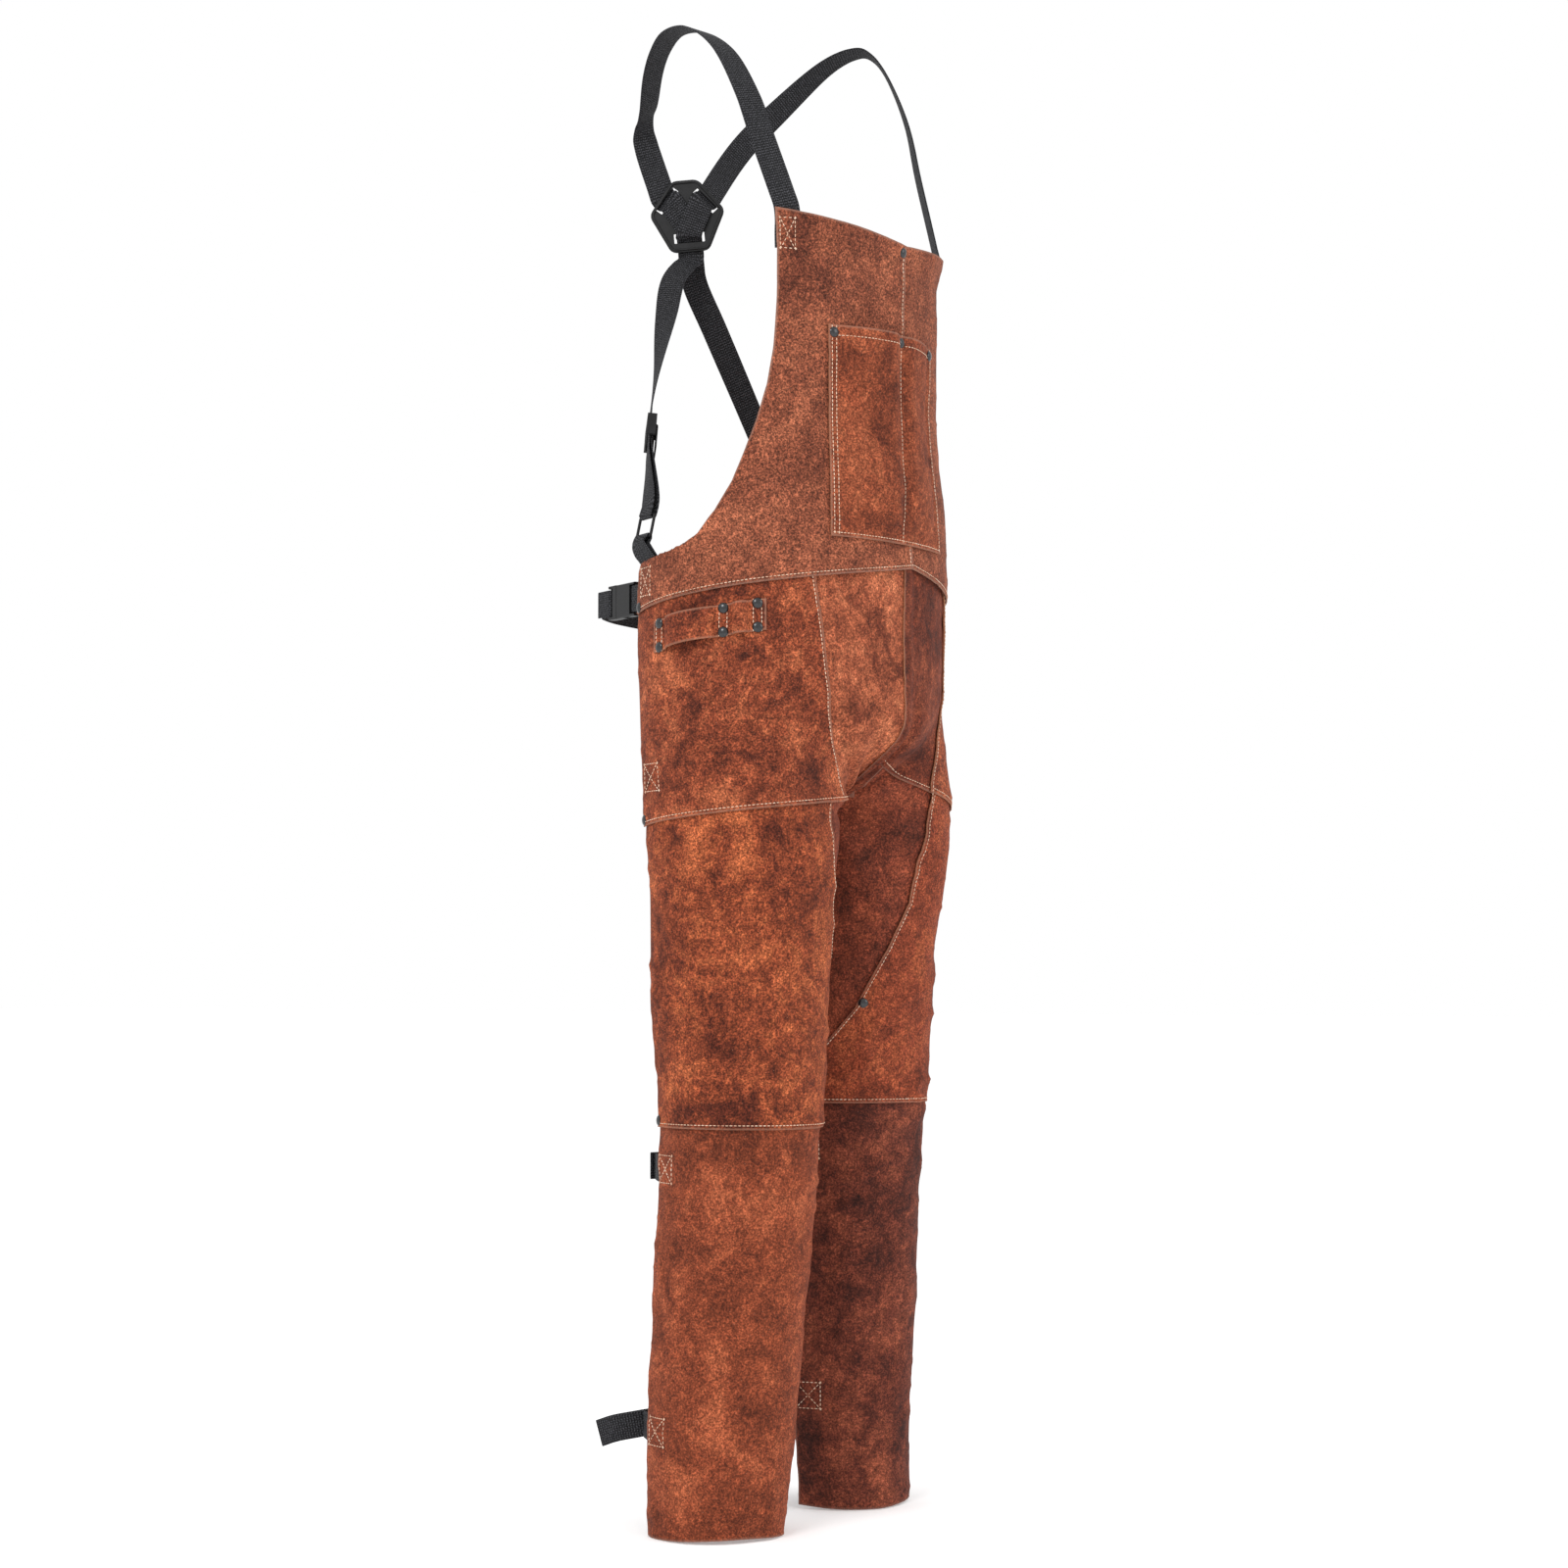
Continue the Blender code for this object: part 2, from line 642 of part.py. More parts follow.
SHOULDER_WIDTHS = {
    RIGHT: ((0.25, (0.77, -0.64, 0)), (0.52, (0.93, -0.33, -0.1)), (0.8, (0.66, -0.4, 0.55))),
    LEFT: ((0.3, (-0.77, -0.64, 0)), (0.5, (-0.9, -0.4, 0.05)), (0.8, (-0.60, 0.3, 0.68))),
}
# Below the plate, on the other side from the shoulder: down to the slide adjuster
BACK_ROUTES = {
    RIGHT: ((-0.0200, 0.1260, -0.1990), (-0.0430, 0.1190, -0.2410), (-0.0700, 0.1090, -0.2920)),
    LEFT: ((0.0200, 0.1270, -0.1960), (0.0430, 0.1190, -0.2380), (0.0700, 0.1090, -0.2890)),
}
ADJUSTER_CENTRE = Vector((0.1085, 0.0935, -0.3650))
ADJUSTER_ALONG = Vector((-0.415, 0.205, 0.886)).normalized()
ADJUSTER_ACROSS = Vector((-0.687, 0.569, -0.453))
RING_CENTRE = Vector((0.1500, 0.0690, -0.4610))
RING_ACROSS = Vector((-0.500, 0.866, 0))
RING_ALONG = Vector((-0.300, 0.120, 0.945))
RING_SIZE = (0.0325, 0.0240)
RING_BAR = 0.0028
LOOP_RADIUS = RING_BAR / 2 + 0.0006 + WEBBING / 2
ADJUSTER_SIZE = (0.0320, 0.0240)
ADJUSTER_BAR = 0.0020
RAISED_BAR = 0.0046
RAISED_LOOP = ADJUSTER_BAR / 2 + 0.0005 + WEBBING / 2
FACE_LAYERS = {RIGHT: 0.0024, LEFT: 0.0047}
BACK_LAYERS = {RIGHT: 0.0050, LEFT: 0.0026}


def sided(vector, side):
    return Vector((vector.x * side, vector.y, vector.z))


def facing_out(frame, side):
    """The same frame, turned about Z if its Y axis faces the wearer."""
    out = Vector((side, 0.6, 0))
    if frame.to_3x3().col[1].dot(out) < 0:
        frame = frame @ Matrix.Rotation(math.pi, 4, "Z")
    return frame


def ring_frame(side):
    return facing_out(local_frame(sided(RING_CENTRE, side), sided(RING_ACROSS, side),
                                  sided(RING_ALONG, side)), side)


def adjuster_frame(side):
    return facing_out(local_frame(sided(ADJUSTER_CENTRE, side), sided(ADJUSTER_ACROSS, side),
                                  sided(ADJUSTER_ALONG, side)), side)


def axis(frame, index):
    return frame.to_3x3().col[index].copy()


def arc(centre, start, turn_towards, count=6):
    """Points on a half turn about a centre, from start by way of turn_towards."""
    out = start - centre
    reach = turn_towards.normalized() * out.length
    return [centre + out * math.cos(math.pi * k / count) + reach * math.sin(math.pi * k / count)
            for k in range(count + 1)]


def like(direction, other):
    """The direction or its opposite, whichever is nearer to the other one."""
    return direction if direction.dot(other) >= 0 else -direction


def under(surface, angle, z, depth):
    """A point inside a surface, and the direction up along the surface there."""
    up = (surface(angle, z + 0.002) - surface(angle, z - 0.002)).normalized()
    return lifted(surface, angle, z, -depth)[0], up


def blended(first, last, count):
    return [lerp(first, last, smooth(k / count)).normalized() for k in range(1, count + 1)]


def add_shoulder_webbing(side):
    """The webbing, and the slide adjuster and ring on the other side of the back that it ends in."""
    far = -side
    depth = 0.0011 + WEBBING / 2 - BIB_LAYER * LAYER_STEP
    sewn = [under(TORSO, CORNER_ANGLE * -side, z, depth) for z in (-0.212, -0.199, -0.186, -0.176)]
    flat = TORSO(CORNER_ANGLE * -side - 1, -0.19) - TORSO(CORNER_ANGLE * -side + 1, -0.19)
    # Over the shoulder
    x, z, turn = PLATE_SLOTS[0 if side == RIGHT else 1][:3]
    step = (math.sin(math.radians(turn)), -math.cos(math.radians(turn)))
    entry = [on_plate(x + step[0] * s, z + step[1] * s, out)
             for s, out in ((-0.0050, -0.0030), (-0.0009, -0.0016), (0.0009, 0.0017),
                            (0.0055, FACE_LAYERS[side]))]
    slot_across = slot_direction(turn)
    over = [point for point, _ in sewn] + [Vector(p) for p in SHOULDER_ROUTES[side]] + entry[:1]
    route = spline(over, 40)
    first = Vector(SHOULDER_WIDTHS[side][0][1])
    keys = [(0, like(flat, first)), (0.08, like(flat, first))]
    keys += [(s, Vector(w)) for s, w in SHOULDER_WIDTHS[side]]
    slot_across = like(slot_across, keys[-1][1])
    widths = blend_widths(keys + [(0.97, slot_across), (1, slot_across)], 40)
    # Through the plate
    route += entry[1:]
    widths += [slot_across] * 3
    bottom = PLATE_SLOTS[2][1] + (0.0016 if side == RIGHT else -0.0016)
    back = BACK_LAYERS[side]
    route += [on_plate(0, bottom + s, out) for s, out in
              ((0.0078 if side == RIGHT else 0.0048, FACE_LAYERS[side]), (0.0010, 0.0017), (-0.0010, -0.0017),
               (-0.0056, -back), (-0.0185, -back * 1.15))]
    bottom_across = like(slot_direction(0), slot_across)
    widths += [bottom_across] * 5
    # Down to the adjuster and the ring
    slider, ring = adjuster_frame(far), ring_frame(far)
    along = axis(slider, 2)
    straight = [slider.translation + along * s for s in (0.030, 0.015)]
    low = spline([route[-1]] + [Vector(p) for p in BACK_ROUTES[far]] + straight, 20)[1:]
    slider_across = like(axis(slider, 0), bottom_across)
    route += low
    widths += blended(bottom_across, slider_across, len(low))
    outward, upright = axis(ring, 1), axis(ring, 2)
    bar = ring @ Vector((0, 0, (RING_SIZE[1] - RING_BAR) / 2))
    arrive = bar + outward * LOOP_RADIUS
    ring_across = like(axis(ring, 0), slider_across)
    down = spline([slider.translation + along * s for s in (-0.015, -0.024)]
                  + [arrive + upright * 0.014, arrive], 10)
    route += down
    widths += [slider_across] + blended(slider_across, ring_across, len(down) - 1)
    # Round the ring and back up to the adjuster's raised bar
    loop = arc(bar, arrive, -upright)[1:]
    route += loop
    widths += [ring_across] * len(loop)
    raised = slider @ Vector((0, -RAISED_BAR, 0))
    reach = raised + axis(slider, 1) * RAISED_LOOP
    climb = spline([loop[-1], loop[-1] + upright * 0.014, reach - along * 0.022, reach - along * 0.012,
                    reach], 12)[1:]
    route += climb
    widths += blended(ring_across, slider_across, len(climb))
    tail = arc(raised, reach, along)[1:]
    route += tail + [tail[-1] - along * 0.010]
    widths += [slider_across] * (len(tail) + 1)
    ribbon("shoulder_webbing_" + side_name(side), route, widths)
    add_adjuster(far, slider)
    add_ring(far, ring)
    add_anchor_webbing(far, ring)


def add_adjuster(side, frame):
    half_w, half_h = ADJUSTER_SIZE[0] / 2, ADJUSTER_SIZE[1] / 2
    low, high = -RAISED_BAR - ADJUSTER_BAR / 2, 0.0034
    inner = WEBBING_WIDTH / 2 + 0.0010
    blocks = [((-half_w, 0.0014, half_h - 0.0026), (half_w, high, half_h), 0.0005, True),
              ((-half_w, low, -half_h), (-inner, high, half_h), 0.0004, True),
              ((inner, low, -half_h), (half_w, high, half_h), 0.0004, True),
              ((-half_w, 0.0014, -half_h), (half_w, high, -half_h + 0.0026), 0.0005, True),
              ((-half_w + 0.0005, low, -ADJUSTER_BAR / 2),
               (half_w - 0.0005, low + ADJUSTER_BAR, ADJUSTER_BAR / 2), 0.0005, True)]
    name = "slide_adjuster_" + side_name(side)
    add_object(name, carved(name, blocks), "plastic", parts).matrix_world = frame


def add_ring(side, frame):
    half_w, half_h = (RING_SIZE[0] - RING_BAR) / 2, (RING_SIZE[1] - RING_BAR) / 2
    name = "strap_ring_" + side_name(side)
    mesh = wire_loop(name, half_w, half_h, 0.0022, RING_BAR / 2)
    mesh.transform(Matrix.Translation((0, 0, half_h)))
    hinge = Matrix.Translation((0, 0, -half_h))
    add_object(name, mesh, "plastic", parts).matrix_world = frame @ hinge


def add_anchor_webbing(side, frame):
    """Webbing sewn inside the side tab, looped through the ring's lower bar."""
    outward, upright = axis(frame, 1), axis(frame, 2)
    bar = frame @ Vector((0, 0, -(RING_SIZE[1] - RING_BAR) / 2))
    angle = 113.5 * -side
    depth = ANCHOR_DEPTH - BIB_LAYER * LAYER_STEP
    foot = [under(TORSO, angle, z, depth) for z in (-0.538, -0.526, -0.515, -0.505)]
    inner = [under(TORSO, angle, z, depth + WEBBING + 0.0008) for z in (-0.505, -0.518)]
    turn = arc(bar, bar + outward * LOOP_RADIUS, upright)
    up = spline([p for p, _ in foot] + [turn[0] - upright * 0.010, turn[0]], 14)[:-1]
    down = spline([turn[-1], turn[-1] - upright * 0.010] + [p for p, _ in inner], 9)[1:]
    ring_across = axis(frame, 0)
    flat = like((TORSO(angle + 1, -0.52) - TORSO(angle - 1, -0.52)).normalized(), ring_across)
    widths = [flat] * 6 + blended(flat, ring_across, len(up) - 6) + [ring_across] * len(turn)
    widths += [lerp(ring_across, flat, smooth(k * 1.4 / len(down))) for k in range(1, len(down) + 1)]
    ribbon("anchor_webbing_" + side_name(side), up + turn + down, widths)


# Side-release buckles. X runs from the socket to the plug, Y outwards and Z across the webbing

BLOCK = 0.0080
SLOT = 0.0058
BAR = 0.0030
BAR_CHAMFER = 0.0008
WALL = 0.0016
BAR_LOOP = BAR / 2 + 0.0006 + WEBBING / 2


def make_buckle_meshes():
    half_w, half_h = BUCKLE_WIDTH / 2, BUCKLE_HEIGHT / 2
    rail = WEBBING_WIDTH / 2 + 0.0012
    back = -SOCKET_LENGTH
    floor = back + BAR + SLOT
    inner = half_h - WALL
    side = half_w - WALL
    socket = carved("socket", [
        ((back, -half_h, -half_w), (0, half_h, half_w), 0.0010, True),
        ((floor + 0.0030, -inner, -side), (0.01, inner, side), 0, False),
        ((-0.0205, -inner, -half_w - 0.01), (-0.0105, inner, half_w + 0.01), 0, False),
        ((back - 0.01, -0.01, -rail), (floor, 0.01, rail), 0, False),
        ((back, -BAR / 2, -rail - 0.001), (back + BAR, BAR / 2, rail + 0.001), BAR_CHAMFER, True)])
    end = BLOCK + SLOT + BAR
    fit = inner - GAP
    tip = side - GAP
    tail = -ARM_LENGTH + 0.0050
    plug = carved("plug", [
        ((GAP, -half_h, -half_w), (end, half_h, half_w), 0.0010, True),
        ((BLOCK, -0.01, -rail), (end + 0.01, 0.01, rail), 0, False),
        ((end - BAR, -BAR / 2, -rail - 0.001), (end, BAR / 2, rail + 0.001), BAR_CHAMFER, True),
        ((tail, -fit, tip - 0.0042), (0.0015, fit, tip), 0.0006, True),
        ((tail, -fit, -tip), (0.0015, fit, -tip + 0.0042), 0.0006, True),
        ((tail + 0.0030, -fit * 0.7, -0.0030), (0.0015, fit * 0.7, 0.0030), 0.0006, True)])
    return socket, plug


def add_buckle(label, frame):
    """A mated socket and plug; the centres of their webbing bars come back in world space."""
    for kind, mesh in (("socket", socket_mesh), ("plug", plug_mesh)):
        add_object(f"{label}_{kind}", mesh, "plastic", parts).matrix_world = frame
    return (frame @ Vector((-SOCKET_LENGTH + BAR / 2, 0, 0)),
            frame @ Vector((BLOCK + SLOT + BAR / 2, 0, 0)))


def buckle_webbing(name, sewn, bar, away, face, tail, count, approach=0.018):
    """Webbing from inside the leather, round a buckle's bar on its face side and back by a tail."""
    across = Vector((0, 0, 1))
    first = bar + face * BAR_LOOP
    turn = arc(bar, first, -away)
    lead = spline([p for p, _ in sewn] + [first + away * approach, first + away * (approach / 2), first],
                  count)
    held = sewn[0][1]
    reach = len(lead)
    widths = [lerp(held, across, smooth((k / reach - 0.3) / 0.4)) for k in range(reach)]
    route = lead[:-1] + turn
    widths += [across] * (len(turn) - 1)
    back = [turn[-1] + away * s + Vector(drop) for s, drop in tail]
    ribbon(name, route + back, widths + [across] * len(back))


# Leg straps: height, the buckle's angle round the leg, and the height at the medial edge

LEG_STRAPS = {"thigh": (-0.698, 197.0, -0.762), "calf": (-1.056, 197.0, -1.056),
              "ankle": (-1.293, 199.0, -1.293)}
LATERAL_LAYER = {"thigh": HIP_LAYER, "calf": CALF_LAYER, "ankle": CALF_LAYER}
SEWN_DEPTH = 0.0011 + WEBBING / 2
TAILS = {"short": ((0.006, (0, 0, 0)), (0.020, (0, 0, 0))),
         "long": ((0.006, (0, 0.001, 0)), (0.016, (0, 0.008, -0.002)), (0.028, (0.004, 0.022, -0.006)),
                  (0.034, (0.010, 0.038, -0.012)))}


def leg_circle(side, z, angle, out):
    turn = math.radians(angle)
    radius = by_height(LEG_RINGS, z, 3) + out
    x = by_height(LEG_RINGS, z) + radius * math.sin(turn)
    y = by_height(LEG_RINGS, z, 2) - radius * math.cos(turn)
    return Vector((x * side, y, z))


def add_leg_strap(side, level):
    z, middle, medial_z = LEG_STRAPS[level]
    tag = side_name(side)
    centre = leg_circle(side, z, middle, -0.002)
    ahead = leg_circle(side, z, middle - 1, 0) - leg_circle(side, z, middle + 1, 0)
    outward = centre - leg_circle(side, z, middle, -0.03)
    ahead.z = outward.z = 0
    ahead, outward = ahead.normalized(), outward.normalized()
    frame = Matrix((ahead, outward, ahead.cross(outward))).transposed().to_4x4()
    frame.translation = centre + ahead * (SOCKET_LENGTH - BLOCK - SLOT - BAR) / 2
    socket_bar, plug_bar = add_buckle(f"{level}_buckle_{tag}", frame)
    surface = LEGS[side]
    depth = SEWN_DEPTH - LATERAL_LAYER[level] * LAYER_STEP
    lateral = [under(surface, angle, z, depth) for angle in (110, 118, 126, 134, 140)]
    tail = TAILS["long" if level == "ankle" and side == RIGHT else "short"]
    buckle_webbing(f"{level}_webbing_lateral_{tag}", lateral, plug_bar, ahead, -outward, tail, 18)
    medial = [under(surface, angle, medial_z, SEWN_DEPTH + 0.0016)
              for angle in (-72, -80, -88, -96, -103)]
    buckle_webbing(f"{level}_webbing_medial_{tag}", medial, socket_bar, -ahead, -outward,
                   TAILS["short"], 18)


# Waist belt

BELT_HEIGHT = -0.5270
BELT_DEPTH = SEWN_DEPTH + LAYER_STEP + 0.0005
ANCHOR_DEPTH = BELT_DEPTH + WEBBING + 0.0016
BELT_LINE = Vector((0.45, 0.893, 0)).normalized()
BELT_BACK = ((-0.1080, 0.1480, 0), (-0.0650, 0.1620, 0), (0.0, 0.1680, 0), (0.0650, 0.1600, 0),
             (0.1150, 0.1380, 0), (0.1420, 0.1080, 0))


def add_waist_belt():
    angles = (101, 107, 113, 120, 127)
    right, left = ([under(TORSO, angle * -side, BELT_HEIGHT, BELT_DEPTH - BIB_LAYER * LAYER_STEP)
                    for angle in angles] for side in (RIGHT, LEFT))
    outward = Vector((-BELT_LINE.y, BELT_LINE.x, 0))
    frame = Matrix((BELT_LINE, outward, Vector((0, 0, 1)))).transposed().to_4x4()
    frame.translation = right[-1][0] + BELT_LINE * (SOCKET_LENGTH + 0.008) + outward * 0.0008
    socket_bar, plug_bar = add_buckle("waist_buckle", frame)
    buckle_webbing("waist_webbing_right", right, socket_bar, -BELT_LINE, -outward,
                   TAILS["short"], 14, 0.004)
    back = [(Vector(p) + Vector((0, 0, BELT_HEIGHT)), None) for p in reversed(BELT_BACK)]
    buckle_webbing("waist_webbing_left", left + back, plug_bar, BELT_LINE, -outward,
                   TAILS["short"], 44)


clear_scene()
parts = bpy.data.collections.new("welding_apron")
cutters = bpy.data.collections.new("cutters")
for group in (parts, cutters):
    bpy.context.scene.collection.children.link(group)
materials = make_materials()
for leg_side in (RIGHT, LEFT):
    add_leg_leather(leg_side)
    add_bib(leg_side)
add_pocket()
add_tool_strip()
add_rivets()
add_back_plate()
for shoulder in (RIGHT, LEFT):
    add_shoulder_webbing(shoulder)
socket_mesh, plug_mesh = make_buckle_meshes()
for leg_side in (RIGHT, LEFT):
    for strap_level in LEG_STRAPS:
        add_leg_strap(leg_side, strap_level)
add_waist_belt()
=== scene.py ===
"""Looks of a split-leg welding apron in suede leather, shaped as it is worn.

Metres, +Z up. The wearer faces -Y, so the wearer's right side is -X. Leather panels lie on one
form, shared by the seams, rivets and webbing, so that folds carry through every layer.
"""

import json
import math

import bmesh
import bpy
import numpy as np
from mathutils import Matrix, Vector, noise

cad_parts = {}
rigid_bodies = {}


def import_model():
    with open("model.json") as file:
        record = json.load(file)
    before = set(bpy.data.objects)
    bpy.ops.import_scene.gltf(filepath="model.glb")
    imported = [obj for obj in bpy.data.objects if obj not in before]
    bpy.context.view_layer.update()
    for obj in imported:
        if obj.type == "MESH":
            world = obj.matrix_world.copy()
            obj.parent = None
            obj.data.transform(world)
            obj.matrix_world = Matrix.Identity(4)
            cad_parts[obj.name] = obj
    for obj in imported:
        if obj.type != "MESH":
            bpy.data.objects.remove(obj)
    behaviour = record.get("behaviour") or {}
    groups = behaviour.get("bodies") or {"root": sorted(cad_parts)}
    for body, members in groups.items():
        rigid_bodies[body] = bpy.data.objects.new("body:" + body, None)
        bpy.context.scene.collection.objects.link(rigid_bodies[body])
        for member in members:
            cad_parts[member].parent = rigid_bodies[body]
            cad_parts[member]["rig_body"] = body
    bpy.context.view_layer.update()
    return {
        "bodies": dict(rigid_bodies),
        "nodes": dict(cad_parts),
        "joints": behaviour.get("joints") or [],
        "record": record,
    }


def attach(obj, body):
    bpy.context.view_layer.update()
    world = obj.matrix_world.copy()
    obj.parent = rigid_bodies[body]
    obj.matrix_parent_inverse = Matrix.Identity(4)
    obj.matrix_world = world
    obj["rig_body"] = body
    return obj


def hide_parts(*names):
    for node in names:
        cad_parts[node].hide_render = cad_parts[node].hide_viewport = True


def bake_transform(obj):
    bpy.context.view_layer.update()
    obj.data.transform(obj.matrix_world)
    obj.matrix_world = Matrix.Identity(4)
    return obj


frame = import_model()

RIGHT, LEFT = -1, 1

# Driving dimensions
LEATHER = 0.0013
LAYER_STEP = 0.0024
LAP = 0.012
WEBBING_WIDTH = 0.025
WEBBING = 0.0014

# Torso: an ellipse whose size changes a little with height
TORSO_HALF_WIDTH = 0.1797
TORSO_HALF_DEPTH = 0.1227
TORSO_SCALE = ((-0.17, 0.99), (-0.21, 0.93), (-0.26, 0.925), (-0.34, 0.92), (-0.39, 0.945),
               (-0.43, 0.975), (-0.49, 1.0))
# Leg: height, centre x, centre y, radius
LEG_RINGS = ((-0.50, 0.105, -0.010, 0.0910), (-0.70, 0.105, -0.009, 0.0875),
             (-0.80, 0.102, -0.006, 0.0840), (-0.88, 0.099, -0.002, 0.0805),
             (-1.01, 0.095, 0.000, 0.0735), (-1.07, 0.096, 0.002, 0.0725),
             (-1.15, 0.100, 0.006, 0.0702), (-1.25, 0.105, 0.010, 0.0675),
             (-1.32, 0.109, 0.013, 0.0657), (-1.39, 0.1135, 0.015, 0.0625))
# Angles round the leg, in degrees from the front: the medial edge and the lateral edge
MEDIAL, LATERAL = -100.0, 135.0
# Angle round the torso of the side tab's end
TAB_END = 122.5

FLY_TOP = -0.638
WAIST_CLEAR = -0.565
LEG_TOP = -0.753
HEM = -1.388
KNEE_SEAM = {RIGHT: -1.018, LEFT: -1.000}
THIGH_SEAM = {RIGHT: (-0.722, -0.00015), LEFT: (-0.706, -0.0003)}
WAIST_SEAM = (-0.498, -0.544)
BIB_TOP = (-0.190, -0.175)
# Where the outer hip panel laps over the crotch gusset: height and angle
HIP_LINE = {RIGHT: ((-0.50, -22.0), (-0.56, -28.0), (-0.62, -33.0), (-0.73, -22.0)),
            LEFT: ((-0.50, -35.0), (-0.60, -28.0), (-0.72, -11.0))}
# The knee panel's slanted inner edge: height and angle
KNEE_EDGE = ((-0.69, -7.0), (-0.74, -11.0), (-0.81, -21.0), (-0.86, -37.0), (-0.91, -55.0),
             (-0.99, -100.0))
# The armhole, from the bib's top corner down to the side tab: angle and height
ARMHOLE = ((55.5, -0.175), (55.2, -0.21), (55.2, -0.259), (56.6, -0.304), (59.2, -0.340),
           (62.8, -0.372), (67.3, -0.4035), (71.4, -0.430), (78.0, -0.457), (85.0, -0.4785),
           (92.0, -0.4875), (100.0, -0.4925), (110.0, -0.496), (118.5, -0.498), (121.8, -0.505),
           (TAB_END, -0.52), (TAB_END, -0.544))

CALF_LAYER, KNEE_LAYER, HIP_LAYER, BIB_LAYER, POCKET_LAYER = 0, 1, 2, 3, 4

# Chest pocket: angles of its sides, heights of its top and bottom
POCKET_SIDES = (-19.4, 36.0)
POCKET_PEN = 6.0
POCKET_TOP, POCKET_BOTTOM = -0.280, -0.478
POCKET_BULGE = 0.011
POCKET_SEAM = 0.0034
POCKET_HEM = 0.0095
# Tool strip on the right hip: angles of its rivet rows, how far its loops stand off, its width,
# and how far its rivets are from its middle
STRIP_ROWS = (61.5, 74.0, 103.0)
STRIP_BULGES = (0.0085, 0.0105)
STRIP_WIDTH = 0.029
STRIP_RIVET = 0.011

# Back plate, in its own plane: half widths at the bottom, middle and top
PLATE_CENTRE = Vector((-0.0005, 0.1225, -0.1315))
PLATE_TURN = 58.0
PLATE_LEAN = -5.0
PLATE_OUTLINE = ((-0.0185, -0.036), (0.0185, -0.036), (0.0375, 0.003), (0.0130, 0.0355),
                 (-0.0130, 0.0355), (-0.0375, 0.003))
PLATE_THICKNESS = 0.0024
# Slot centre x, z, turn in degrees, length and width
PLATE_SLOTS = ((-0.0185, 0.0165, 50.0, 0.0285, 0.0070), (0.0185, 0.0135, -50.0, 0.0285, 0.0070),
               (0.0, -0.0220, 0.0, 0.0300, 0.0096))

# Camera: its place, its direction round the apron and its pitch
CAMERA_PLACE = Vector((-2.676, -1.6615, -0.883))
CAMERA_AZIMUTH = -58.0
CAMERA_PITCH = 3.396
CAMERA_LENS = 75.8
FLOOR_HEIGHT = -1.3895
FLOOR_REACH = 40.0

# Where the legs part; folds are drawn towards it
CROTCH_HEIGHT = -0.715
CROTCH_REACH = 0.10
CROTCH_FOLD = 0.0030
# Where the leather creases behind the knee's bend
KNEE_HEIGHT = -0.97

# How far the left gusset laps over the right one, how far it is doubled, and where that ends
FLY_LAP = 0.0105
FLY_LAP_REACH = 0.016
FLY_LAP_BOTTOM = -0.708

# Spacing of the leather's points
POINT_SPACING = 0.0034


def lerp(a, b, k):
    return a + (b - a) * k


def smooth(k):
    k = min(1.0, max(0.0, k))
    return k * k * (3 - 2 * k)


def by_height(table, z, column=1):
    """The value of a table's column at a height; the table runs downwards."""
    return float(np.interp(-z, [-row[0] for row in table], [row[column] for row in table]))


# The form that the leather lies on


def torso_point(angle, z):
    """A point on the torso; the angle is positive towards the wearer's right."""
    scale = by_height(TORSO_SCALE, z)
    turn = math.radians(angle)
    return Vector((-TORSO_HALF_WIDTH * scale * math.sin(turn),
                   -TORSO_HALF_DEPTH * scale * math.cos(turn), z))


def leg_point(angle, z, side):
    """A point on one leg, blended into the torso between the crotch and the waist."""
    share = (angle - MEDIAL) / (LATERAL - MEDIAL)
    top = lerp(FLY_TOP, WAIST_CLEAR, smooth(share / 0.6))
    legness = smooth((top - z) / (top - LEG_TOP))
    centre_x = by_height(LEG_RINGS, z)
    centre_y = by_height(LEG_RINGS, z, 2)
    radius = by_height(LEG_RINGS, z, 3)
    turn = math.radians(angle)
    reach = radius
    if angle < 0:
        reach = lerp(radius, centre_x - 0.006, smooth((z + 0.82) / 0.10))
    torso = torso_point(share * (TAB_END + 1.5), z)
    x = lerp(torso.x, -centre_x - reach * math.sin(turn), legness)
    y = lerp(torso.y, centre_y - radius * math.cos(turn), legness)
    return Vector((min(x, -0.001) * -side, y, z))


